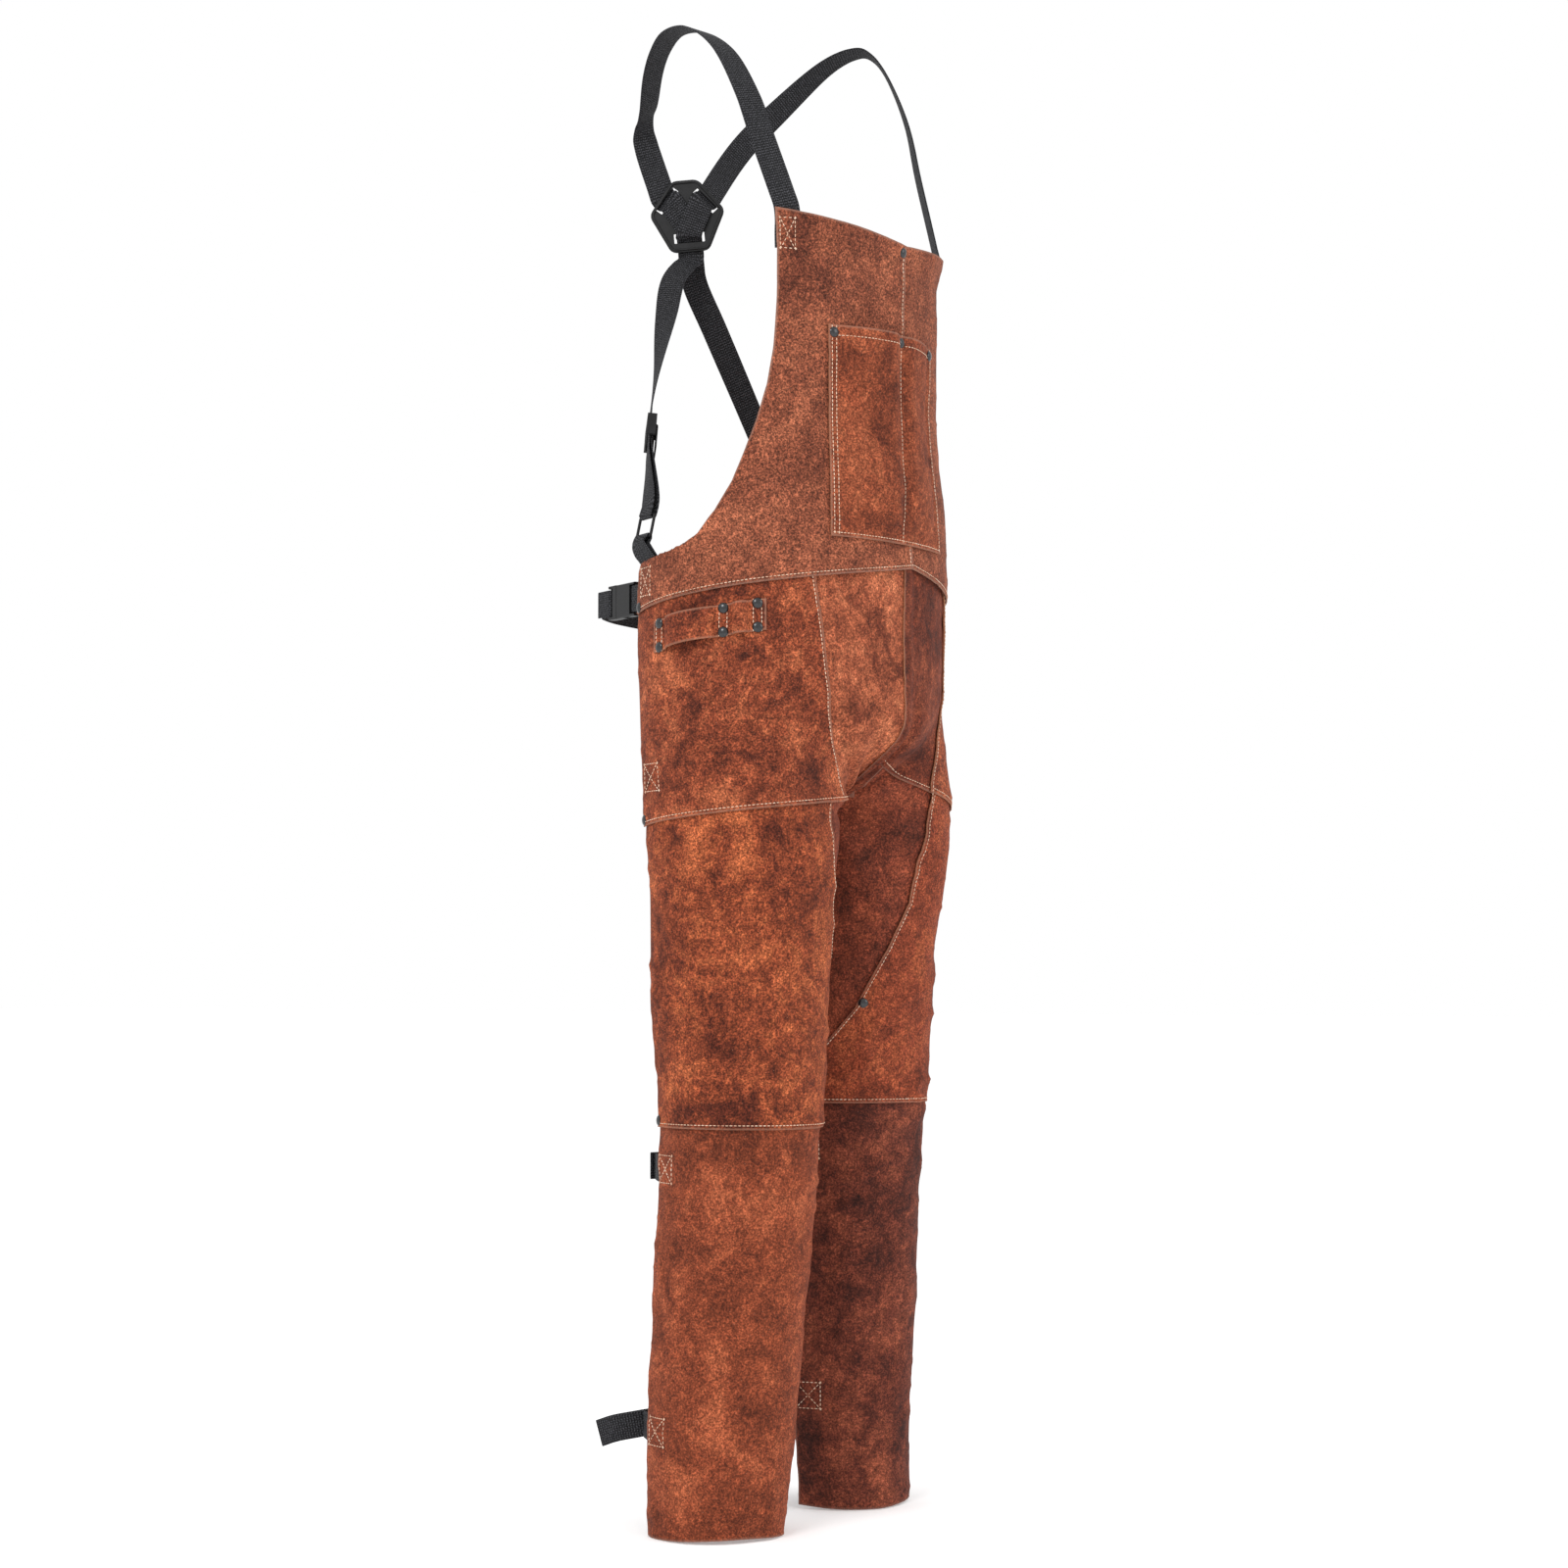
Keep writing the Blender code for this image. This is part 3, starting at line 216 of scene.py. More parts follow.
def fold(point):
    """How far the leather stands off the form there: slack, dents and creases."""
    x, y, z = point
    below = smooth((-0.50 - z) / 0.25)
    slack = noise.noise(Vector((x * 8, y * 8, z * 6))) * lerp(0.0030, 0.0044, below)
    dents = noise.noise(Vector((x * 21 + 7, y * 21, z * 17))) * lerp(0.0014, 0.0017, below)
    crease = noise.noise(Vector((x * 9 + 31, y * 9, z * 26)))
    crease = (1 - min(1.0, abs(crease) * 4)) ** 2 * lerp(0.0010, 0.0021, below)
    wrinkle = noise.noise(Vector((x * 40 + 3, y * 40, z * 40)))
    wrinkle = (1 - min(1.0, abs(wrinkle) * 4)) ** 2 * 0.0005
    nearby = smooth(1 - abs(z - KNEE_HEIGHT) / 0.22)
    flute = noise.noise(Vector((x * 26, y * 26, z * 4 + 11))) * 0.0016 * smooth((-1.05 - z) / 0.25)
    flute *= 1 + smooth((-1.30 - z) / 0.08)
    away = math.hypot(x, z - CROTCH_HEIGHT)
    turn = math.atan2(x, z - CROTCH_HEIGHT)
    drawn = math.cos(9 * turn + 1.2) + 0.5 * math.cos(16 * turn + 0.4)
    drawn *= smooth(away / 0.03) * math.exp(-(away / CROTCH_REACH) ** 2)
    drawn *= smooth(-y / 0.05) * CROTCH_FOLD
    return slack + dents + crease * (0.5 + nearby) + flute + wrinkle + drawn


def lifted(surface, angle, z, out):
    """A point of a surface moved outwards with its folds, and the form's normal there."""
    point = surface(angle, z)
    across = surface(angle + 0.5, z) - surface(angle - 0.5, z)
    along = surface(angle, z + 0.002) - surface(angle, z - 0.002)
    normal = across.cross(along).normalized()
    if normal.dot(Vector((point.x, point.y, 0)) - surface.axis(z)) < 0:
        normal = -normal
    return point + normal * (out + fold(point)), normal


class Torso:
    def __call__(self, angle, z):
        return torso_point(angle, z)

    def axis(self, z):
        return Vector((0, 0, 0))


class Leg:
    def __init__(self, side):
        self.side = side

    def __call__(self, angle, z):
        return leg_point(angle, z, self.side)

    def axis(self, z):
        return Vector((self.side * by_height(LEG_RINGS, z), 0.02, 0))


TORSO = Torso()
LEGS = {RIGHT: Leg(RIGHT), LEFT: Leg(LEFT)}


def waist_seam(angle):
    return lerp(*WAIST_SEAM, (abs(angle) / TAB_END) ** 0.9)


def thigh_seam(angle, side):
    level, slope = THIGH_SEAM[side]
    return level + slope * angle


def knee_edge(z):
    return by_height(KNEE_EDGE, z)


def hip_line(z, side):
    return by_height(HIP_LINE[side], z)


def leg_waist(angle):
    """The waist seam's height over an angle round the leg."""
    return waist_seam((angle - MEDIAL) / (LATERAL - MEDIAL) * (TAB_END + 1.5))


def lap_angle(z):
    """The angle round the leg that one lap takes up."""
    return math.degrees(LAP / by_height(LEG_RINGS, z, 3))


def side_name(side):
    return "right" if side == RIGHT else "left"


# Node helpers


class Nodes:
    """A short way to add nodes to a tree and link them."""

    def __init__(self, tree):
        self.tree = tree

    def add(self, kind, inputs=None, **settings):
        node = self.tree.nodes.new(kind)
        for key, value in settings.items():
            setattr(node, key, value)
        self.feed(node, inputs or {})
        return node

    def feed(self, node, inputs):
        """Links a socket to an input, or gives the input its value."""
        for key, value in inputs.items():
            if isinstance(value, bpy.types.NodeSocket):
                self.tree.links.new(value, node.inputs[key])
            else:
                node.inputs[key].default_value = value

    def maths(self, operation, a, b=0.0):
        return self.add("ShaderNodeMath", {0: a, 1: b}, operation=operation).outputs[0]

    def noise(self, vector, scale, detail=4.0, roughness=0.6, distortion=0.0):
        return self.add("ShaderNodeTexNoise", {"Vector": vector, "Scale": scale, "Detail": detail,
                                               "Roughness": roughness, "Distortion": distortion})

    def ramp(self, value, stops):
        node = self.add("ShaderNodeValToRGB", {"Fac": value})
        ramp = node.color_ramp
        while len(ramp.elements) < len(stops):
            ramp.elements.new(0.5)
        for element, (place, colour) in zip(ramp.elements, stops):
            element.position = place
            element.color = (*colour, 1)
        return node.outputs["Color"]

    def mix(self, share, a, b, blend="MIX"):
        a, b = (v if isinstance(v, bpy.types.NodeSocket) else (*v, 1) for v in (a, b))
        node = self.add("ShaderNodeMix", {0: share, 6: a, 7: b}, data_type="RGBA", blend_type=blend)
        return node.outputs[2]

    def bump(self, height, distance, strength=1.0, below=None):
        inputs = {"Height": height, "Distance": distance, "Strength": strength}
        if below is not None:
            inputs["Normal"] = below
        return self.add("ShaderNodeBump", inputs).outputs["Normal"]


def linear(colour):
    """A colour given from 0 to 255 as a shader takes it."""
    shares = [c / 255 for c in colour]
    return tuple(c / 12.92 if c < 0.04045 else ((c + 0.055) / 1.055) ** 2.4 for c in shares)


def new_material(name):
    material = bpy.data.materials.new(name)
    material.use_nodes = True
    shader = material.node_tree.nodes["Principled BSDF"]
    return material, Nodes(material.node_tree), shader


def suede(name, dark, middle, light, mottle=1.0, grain=1.0):
    """Rough split leather: cloudy dye, brushed nap, and paler fibres along its cut edges."""
    material, nodes, shader = new_material(name)
    place = nodes.add("ShaderNodeTexCoord").outputs["Object"]
    cloud = nodes.noise(place, 17, 7, 0.62, 0.7).outputs["Fac"]
    patch = nodes.noise(place, 62, 8, 0.66, 0.9).outputs["Fac"]
    both = nodes.maths("ADD", nodes.maths("MULTIPLY", cloud, 0.56),
                       nodes.maths("MULTIPLY", patch, 0.44))
    spread = 0.135 / mottle
    dye = nodes.ramp(both, ((0.5 - spread, linear(dark)), (0.5, linear(middle)),
                            (0.5 + spread * 1.2, linear(light))))
    nap = nodes.noise(place, 560, 3, 0.75).outputs["Fac"]
    tuft = nodes.noise(place, 250, 4, 0.7).outputs["Fac"]
    scuff = nodes.noise(place, 105, 6, 0.68, 1.2).outputs["Fac"]
    speckle = nodes.ramp(nap, ((0.36, (0.22,) * 3), (0.50, (0.92,) * 3), (0.64, (2.5,) * 3)))
    dye = nodes.mix(min(1.0, 0.72 * grain), dye, speckle, "MULTIPLY")
    tufts = nodes.ramp(tuft, ((0.34, (0.60,) * 3), (0.50, (1.0,) * 3), (0.66, (1.38,) * 3)))
    dye = nodes.mix(min(1.0, 0.75 * grain), dye, tufts, "MULTIPLY")
    scuffs = nodes.ramp(scuff, ((0.36, (0.70,) * 3), (0.52, (1.0,) * 3), (0.68, (1.32,) * 3)))
    dye = nodes.mix(min(1.0, 0.7 * mottle), dye, scuffs, "MULTIPLY")
    rim = nodes.add("ShaderNodeAttribute", attribute_name="edge_distance").outputs["Fac"]
    frayed = nodes.maths("MULTIPLY", nodes.noise(place, 260, 5, 0.7).outputs["Fac"], 0.0026)
    worn = nodes.add("ShaderNodeMapRange", {"Value": nodes.maths("SUBTRACT", rim, frayed),
                                            "From Min": 0.0010, "From Max": -0.0006}).outputs[0]
    pale = [c * 0.62 + 150 * 0.38 for c in light]
    dye = nodes.mix(nodes.maths("MULTIPLY", worn, 0.62), dye, linear(pale))
    lint_spots = nodes.add("ShaderNodeTexVoronoi", {"Vector": place, "Scale": 190.0}).outputs[0]
    lint = nodes.add("ShaderNodeMapRange", {"Value": lint_spots, "From Min": 0.085,
                                            "From Max": 0.06}).outputs[0]
    dye = nodes.mix(nodes.maths("MULTIPLY", lint, 0.5), dye, linear([c * 0.7 + 62 for c in light]))
    normal = nodes.bump(nodes.noise(place, 30, 4).outputs["Fac"], 0.0035, 0.55)
    normal = nodes.bump(patch, 0.0012, 0.5, normal)
    normal = nodes.bump(tuft, 0.0007, 0.65 * grain, normal)
    normal = nodes.bump(nap, 0.00035, 0.8 * grain, normal)
    roughness = nodes.add("ShaderNodeMapRange", {"Value": patch, "To Min": 0.78, "To Max": 0.98})
    nodes.feed(shader, {"Base Color": dye, "Normal": normal, "Roughness": roughness.outputs[0],
                        "Specular IOR Level": 0.22, "Sheen Weight": 0.16, "Sheen Roughness": 0.45,
                        "Sheen Tint": (*linear(light), 1)})
    return material


def cut_edge(name, colour):
    """The pale raw section of split leather."""
    material, nodes, shader = new_material(name)
    place = nodes.add("ShaderNodeTexCoord").outputs["Object"]
    fibres = nodes.noise(place, 900, 4, 0.7).outputs["Fac"]
    colour = linear(colour)
    shade = nodes.ramp(fibres, ((0.3, [c * 0.45 for c in colour]), (0.7, [c * 1.25 for c in colour])))
    nodes.feed(shader, {"Base Color": shade, "Normal": nodes.bump(fibres, 0.0004, 0.8),
                        "Roughness": 0.92})
    return material


def webbing_material():
    """Black polyester webbing: twill ribs across it and a tighter selvedge, on its UV map."""
    material, nodes, shader = new_material("webbing_weave")
    uv = nodes.add("ShaderNodeUVMap", uv_map="weave").outputs[0]
    split = nodes.add("ShaderNodeSeparateXYZ", {0: uv})
    along, across = split.outputs[0], split.outputs[1]
    rib = nodes.maths("SINE", nodes.maths("MULTIPLY", along, 2 * math.pi / 0.0025))
    chevron = nodes.maths("ADD", along, nodes.maths("PINGPONG", across, 0.0042))
    twill = nodes.maths("SINE", nodes.maths("MULTIPLY", chevron, 2 * math.pi / 0.0031))
    cord = nodes.maths("SINE", nodes.maths("MULTIPLY", across, 2 * math.pi / 0.0021))
    weave = nodes.maths("ADD", nodes.maths("MULTIPLY", rib, 0.45), nodes.maths("MULTIPLY", twill, 0.35))
    weave = nodes.maths("ADD", weave, nodes.maths("MULTIPLY", cord, 0.30))
    place = nodes.add("ShaderNodeTexCoord").outputs["Object"]
    dust = nodes.noise(place, 420, 4, 0.7).outputs["Fac"]
    level = nodes.maths("ADD", nodes.maths("MULTIPLY", weave, 0.42), dust)
    shade = nodes.ramp(level, ((0.05, linear((9, 9, 10))), (0.5, linear((31, 31, 33))),
                               (0.95, linear((78, 78, 82)))))
    normal = nodes.bump(dust, 0.0002, 0.5, nodes.bump(weave, 0.00035, 0.9))
    nodes.feed(shader, {"Base Color": shade, "Normal": normal, "Roughness": 0.72,
                        "Specular IOR Level": 0.15})
    return material


def plastic_material():
    """Moulded black plastic with a fine spark-eroded grain and a few rubbed places."""
    material, nodes, shader = new_material("moulded_plastic")
    place = nodes.add("ShaderNodeTexCoord").outputs["Object"]
    rub = nodes.noise(place, 120, 5, 0.6).outputs["Fac"]
    grain = nodes.noise(place, 2600, 2).outputs["Fac"]
    shade = nodes.ramp(rub, ((0.35, linear((11, 11, 12))), (0.75, linear((27, 27, 29)))))
    rough = nodes.add("ShaderNodeMapRange", {"Value": rub, "To Min": 0.40, "To Max": 0.58})
    nodes.feed(shader, {"Base Color": shade, "Roughness": rough.outputs[0],
                        "Normal": nodes.bump(grain, 0.0001, 0.35), "Specular IOR Level": 0.3})
    return material


def rivet_material():
    """Black nickel over brass, bright where the dome is rubbed."""
    material, nodes, shader = new_material("black_nickel")
    place = nodes.add("ShaderNodeTexCoord").outputs["Object"]
    rub = nodes.noise(place, 700, 5, 0.7).outputs["Fac"]
    shade = nodes.ramp(rub, ((0.45, linear((10, 10, 12))), (0.75, linear((44, 44, 48)))))
    rough = nodes.add("ShaderNodeMapRange", {"Value": rub, "To Min": 0.14, "To Max": 0.30})
    nodes.feed(shader, {"Base Color": shade, "Roughness": rough.outputs[0], "Metallic": 0.25,
                        "Specular IOR Level": 0.85})
    return material


def thread_material():
    """Cream thread, dulled where dye has come off on it."""
    material, nodes, shader = new_material("cream_thread")
    place = nodes.add("ShaderNodeTexCoord").outputs["Object"]
    stain = nodes.noise(place, 90, 5, 0.7).outputs["Fac"]
    shade = nodes.ramp(stain, ((0.30, linear((176, 122, 96))), (0.50, linear((222, 186, 158))),
                               (0.72, linear((240, 222, 202)))))
    twist = nodes.noise(place, 2200, 2).outputs["Fac"]
    nodes.feed(shader, {"Base Color": shade, "Normal": nodes.bump(twist, 0.0002, 0.6),
                        "Roughness": 0.8})
    return material


# dark, middle and light dye of each batch of leather; the _far rows are darker copies of the same
# leather for the far leg, a painted shade
BATCHES = {
    "bib": ((88, 44, 30), (120, 65, 45), (152, 88, 62), 0.95, 1.2),
    "pocket": ((82, 36, 21), (122, 60, 37), (156, 86, 56), 1.1, 1.0),
    "hip": ((70, 29, 18), (119, 56, 34), (162, 88, 56), 1.2, 1.1),
    "gusset": ((94, 43, 27), (144, 76, 50), (184, 108, 74), 1.3, 0.95),
    "gusset_far_shaded": ((58, 24, 16), (98, 44, 28), (138, 72, 48), 1.1, 0.95),
    "knee": ((76, 31, 18), (122, 57, 33), (166, 88, 52), 1.25, 1.1),
    "knee_far_shaded": ((76, 32, 19), (122, 56, 35), (158, 82, 50), 1.0, 1.0),
    "inner": ((66, 29, 19), (106, 49, 33), (142, 71, 47), 1.05, 1.0),
    "calf": ((88, 39, 22), (122, 58, 35), (156, 82, 52), 1.1, 0.95),
    "calf_far_shaded": ((54, 24, 18), (90, 42, 30), (128, 66, 46), 1.25, 0.95),
}


# Pieces


def mesh_from(bm, name):
    mesh = bpy.data.meshes.new(name)
    bm.to_mesh(mesh)
    bm.free()
    return mesh


def add_piece(name, mesh, *finishes):
    obj = bpy.data.objects.new(name, mesh)
    for finish in finishes:
        mesh.materials.append(finish)
    bpy.context.scene.collection.objects.link(obj)
    return obj


def settle(obj, body, slot, *nodes):
    """Puts a piece on a body and hides the nodes it stands for; the slot argument is not used."""
    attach(obj, body)
    if nodes:
        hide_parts(*nodes)


def shade_smooth(mesh, angle=35.0):
    """Smooth faces with sharp edges where the surface turns by more than an angle."""
    bm = bmesh.new()
    bm.from_mesh(mesh)
    for face in bm.faces:
        face.smooth = True
    limit = math.radians(angle)
    for edge in bm.edges:
        edge.smooth = len(edge.link_faces) == 2 and edge.calc_face_angle(0) < limit
    bm.to_mesh(mesh)
    bm.free()


# Leather


def leather_panel(name, node, batch, grid, flat_grid, slot="suede"):
    """A panel from rows of points, as thick as leather, with a raw edge all round."""
    rows, columns = len(grid), len(grid[0])
    points = np.array([[tuple(p) for p in row] for row in grid])
    flat = np.array([[tuple(p) for p in row] for row in flat_grid])
    faces = []
    for r in range(rows - 1):
        start = r * columns
        faces += [(start + c, start + c + 1, start + c + 1 + columns, start + c + columns)
                  for c in range(columns - 1)]
    mesh = bpy.data.meshes.new(name)
    mesh.from_pydata(points.reshape(-1, 3).tolist(), [], faces)
    middle = mesh.polygons[len(faces) // 2]
    obj = add_piece(name, mesh, leather[batch], edges[slot])
    outward = Vector(grid_outward(node, middle.center))
    if middle.normal.dot(outward) < 0:
        mesh.flip_normals()
    across = np.linalg.norm(np.diff(flat, axis=1), axis=2)
    along = np.linalg.norm(np.diff(flat, axis=0), axis=2)
    left = np.concatenate([np.zeros((rows, 1)), np.cumsum(across, axis=1)], axis=1)
    low = np.concatenate([np.zeros((1, columns)), np.cumsum(along, axis=0)], axis=0)
    reach = np.minimum(np.minimum(left, left[:, -1:] - left), np.minimum(low, low[-1:] - low))
    attribute = mesh.attributes.new("edge_distance", "FLOAT", "POINT")
    attribute.data.foreach_set("value", reach.reshape(-1).astype(np.float32))
    mesh.polygons.foreach_set("use_smooth", [True] * len(faces))
    wall = obj.modifiers.new("leather", "SOLIDIFY")
    wall.thickness = LEATHER
    wall.offset = 1.0
    wall.use_even_offset = False
    wall.material_offset_rim = 1
    settle(obj, "apron", slot, node)


def grid_outward(node, centre):
    if node.startswith(("bib", "chest", "tool")):
        return (centre.x, centre.y, 0)
    side = RIGHT if node.endswith("right") else LEFT
    return Vector((centre.x, centre.y, 0)) - LEGS[side].axis(centre.z)


def grids(rows, columns, place):
    """Rows of what place(row share, column share) gives: a point as worn and a point as laid flat."""
    both = [[place(crowd(r / rows), crowd(c / columns)) for c in range(columns + 1)]
            for r in range(rows + 1)]
    return [[[pair[k] for pair in row] for row in both] for k in (0, 1)]


def counts(width, height):
    return max(6, round(width / POINT_SPACING)), max(6, round(height / POINT_SPACING))


def crowd(share):
    """Shares moved a little towards both ends, so that edges get more points."""
    return share - math.sin(2 * math.pi * share) * 0.012


def leg_panel(name, node, side, layer, limits, heights, size, batch):
    """A panel on one leg. limits(z) gives its two angles, heights(angle) its low and high edge."""
    surface = LEGS[side]
    columns, rows = counts(*size)
    # Each row's last angle, from which the next one is sought
    starts = {}

    def place(up, over):
        angle = starts.get(up, lerp(MEDIAL, LATERAL, 0.5))
        for _ in range(2):
            z = lerp(*heights(angle), up)
            angle = lerp(*limits(z), over)
        starts[up] = angle
        z = lerp(*heights(angle), up)
        point = lifted(surface, angle, z, layer * LAYER_STEP)[0]
        worn = Vector((side * max(0.0022, side * point.x), point.y, point.z))
        return worn, surface(angle, z)

    leather_panel(name, node, batch, *grids(rows, columns, place))


def front_angle(surface, side, across, z):
    """The angle at which a leg's front stands that far from the middle."""
    low_angle, high_angle = MEDIAL, 10.0
    for _ in range(18):
        middle = (low_angle + high_angle) / 2
        if surface(middle, z).x * side < across:
            low_angle = middle
        else:
            high_angle = middle
    return high_angle


def add_fly_lap():
    """The left gusset laps over the right one down the middle, as far as the legs' parting."""
    grid, flat = [], []
    rows, columns = 56, 14
    for r in range(rows + 1):
        z = lerp(FLY_LAP_BOTTOM, waist_seam(0) + LAP * 0.8, r / rows)
        width = lerp(0.0005, FLY_LAP, smooth((z + 0.712) / 0.05))
        row = []
        for c in range(columns + 1):
            x = lerp(-width, FLY_LAP_REACH, c / columns)
            side = RIGHT if x < 0 else LEFT
            surface = LEGS[side]
            angle = front_angle(surface, side, max(0.0024, abs(x)), z)
            sink = smooth((x - 0.001) / 0.015)
            out = KNEE_LAYER * LAYER_STEP + lerp(LEATHER + 0.0004, -0.0006, sink)
            point = lifted(surface, angle, z, out)[0]
            row.append(Vector((x, point.y, point.z)))
        grid.append(row)
        flat.append(row)
    # The lap is on the far side, so it takes the darker far gusset leather: painted shade.
    leather_panel("fly_lap_leather", "crotch_gusset_left", "gusset_far_shaded", grid, flat)


def hem_wave(angle):
    """The hem is cut by hand, so it rises and falls a little."""
    return HEM + 0.0016 * math.sin(math.radians(angle * 2.3)) + 0.0009


def add_leg_leather(side):
    tag = side_name(side)
    # The far leg takes the darker _far copies of its leather: painted shade.
    far = "" if side == RIGHT else "_far_shaded"
    knee = KNEE_SEAM[side]
    leg_panel("calf_leather_" + tag, "calf_panel_" + tag, side, CALF_LAYER,
              lambda z: (MEDIAL, LATERAL), lambda a: (hem_wave(a), knee + LAP), (0.29, 0.38),
              "calf" + far)
    low_point = KNEE_EDGE[-1][0] + 0.045

    def inner_limits(z):
        return MEDIAL, max(MEDIAL + 9, knee_edge(z) + lap_angle(z))

    leg_panel("inner_knee_leather_" + tag, "inner_knee_piece_" + tag, side, CALF_LAYER - 0.25,
              inner_limits, lambda a: (low_point, thigh_seam(a, side) + LAP), (0.14, 0.26), "inner")

    def knee_limits(z):
        return max(MEDIAL, knee_edge(z)), LATERAL

    leg_panel("knee_leather_" + tag, "knee_panel_" + tag, side, KNEE_LAYER, knee_limits,
              lambda a: (knee, thigh_seam(a, side) + LAP), (0.30, 0.31), "knee" + far)

    def gusset_limits(z):
        lap_edge = hip_line(z, side) + lap_angle(z)
        return MEDIAL, min(lap_edge, lerp(-9.0, 20.0, smooth((z + 0.69) / 0.06)))

    leg_panel("gusset_leather_" + tag, "crotch_gusset_" + tag, side, KNEE_LAYER, gusset_limits,
              lambda a: (thigh_seam(a, side), leg_waist(a) + LAP), (0.17, 0.22), "gusset" + far)
    leg_panel("hip_leather_" + tag, "hip_panel_" + tag, side, HIP_LAYER,
              lambda z: (hip_line(z, side), LATERAL),
              lambda a: (thigh_seam(a, side), leg_waist(a) + LAP), (0.26, 0.23), "hip")


def armhole_point(share):
    """Angle and height at a share of the armhole's length, from the tab's foot to the corner."""
    points = [Vector((math.radians(a) * TORSO_HALF_WIDTH, z)) for a, z in reversed(ARMHOLE)]
    lengths = np.cumsum([0.0] + [(b - a).length for a, b in zip(points, points[1:])])
    reach = share * lengths[-1]
    arc = np.interp(reach, lengths, [p.x for p in points])
    return math.degrees(arc / TORSO_HALF_WIDTH), float(np.interp(reach, lengths, [p.y for p in points]))


# Angle that the bib's halves lap at the middle
CENTRE_LAP = 3.2


def add_bib(side):
    """The right half laps over the left one at the middle of the chest."""
    start = 0.0 if side == RIGHT else -CENTRE_LAP
    columns, rows = counts(0.20, 0.36)

    def place(up, over):
        edge_angle, edge_z = armhole_point(up)
        angle = lerp(start, edge_angle, over)
        z = waist_seam(angle)
        if up > 0:
            centre_z = lerp(WAIST_SEAM[0], BIB_TOP[0], up ** 1.05)
            z = lerp(centre_z, edge_z, max(0.0, angle / edge_angle))
        under_lap = 0.0
        if side == LEFT:
            under_lap = 0.0019 * (1 - smooth((angle + 1.0) / 3.0))
        out = BIB_LAYER * LAYER_STEP - under_lap
        return lifted(TORSO, angle * -side, z, out)[0], TORSO(angle * -side, z)

    tag = side_name(side)
    leather_panel("bib_leather_" + tag, "bib_" + tag, "bib", *grids(rows, columns, place), "suede_bib")


def pocket_bulge(angle, z):
    across = (angle - POCKET_SIDES[0]) / (POCKET_SIDES[1] - POCKET_SIDES[0])
    up = (z - POCKET_BOTTOM) / (POCKET_TOP - POCKET_BOTTOM)
    share = min(1.0, max(0.0, (across - 0.085) / 0.83))
    rise = math.sin(math.pi * share) ** 0.7
    return POCKET_BULGE * rise * smooth(up / 0.25)


def pocket_rise(angle, z):
    """The pocket's bulge, with the hollow that its pen divider pulls in."""
    seam = math.exp(-((angle - POCKET_PEN) / 3.0) ** 2)
    sag = 0.0012 * math.sin(math.radians(angle * 7))
    return pocket_bulge(angle, z) * (1 - 0.55 * seam) * (1 + sag)


def add_pocket():
    columns, rows = counts(0.175, 0.20)

    def place(up, over):
        angle, z = lerp(*POCKET_SIDES, over), lerp(POCKET_BOTTOM, POCKET_TOP, up)
        out = POCKET_LAYER * LAYER_STEP + pocket_rise(angle, z)
        return lifted(TORSO, angle, z, out)[0], TORSO(angle, z)

    leather_panel("pocket_leather", "chest_pocket", "pocket", *grids(rows, columns, place))


def strip_height(angle):
    """Height of the tool strip's middle, which slopes down towards the back."""
    return lerp(-0.553, -0.568, (angle - STRIP_ROWS[0]) / (STRIP_ROWS[-1] - STRIP_ROWS[0]))


def strip_lift(angle):
    for start, end, bulge in zip(STRIP_ROWS, STRIP_ROWS[1:], STRIP_BULGES):
        free = 3.6
        if start + free < angle < end - free:
            share = (angle - start - free) / (end - start - 2 * free)
            return bulge * math.sin(math.pi * share) ** 0.6
    return 0.0


def add_tool_strip():
    first, last = STRIP_ROWS[0] - 3.2, STRIP_ROWS[-1] + 3.2

    def place(up, over):
        angle = lerp(first, last, over)
        z = strip_height(angle) + lerp(-0.5, 0.5, up) * STRIP_WIDTH
        out = (HIP_LAYER + 1) * LAYER_STEP + strip_lift(angle)
        return lifted(TORSO, angle, z, out)[0], TORSO(angle, z)

    leather_panel("tool_strip_leather", "tool_strip", "hip", *grids(12, 90, place))


# Stitching, along lines that lie on the leather

THREAD_LIFT = 0.0002
SEAM_ROW = 0.0036


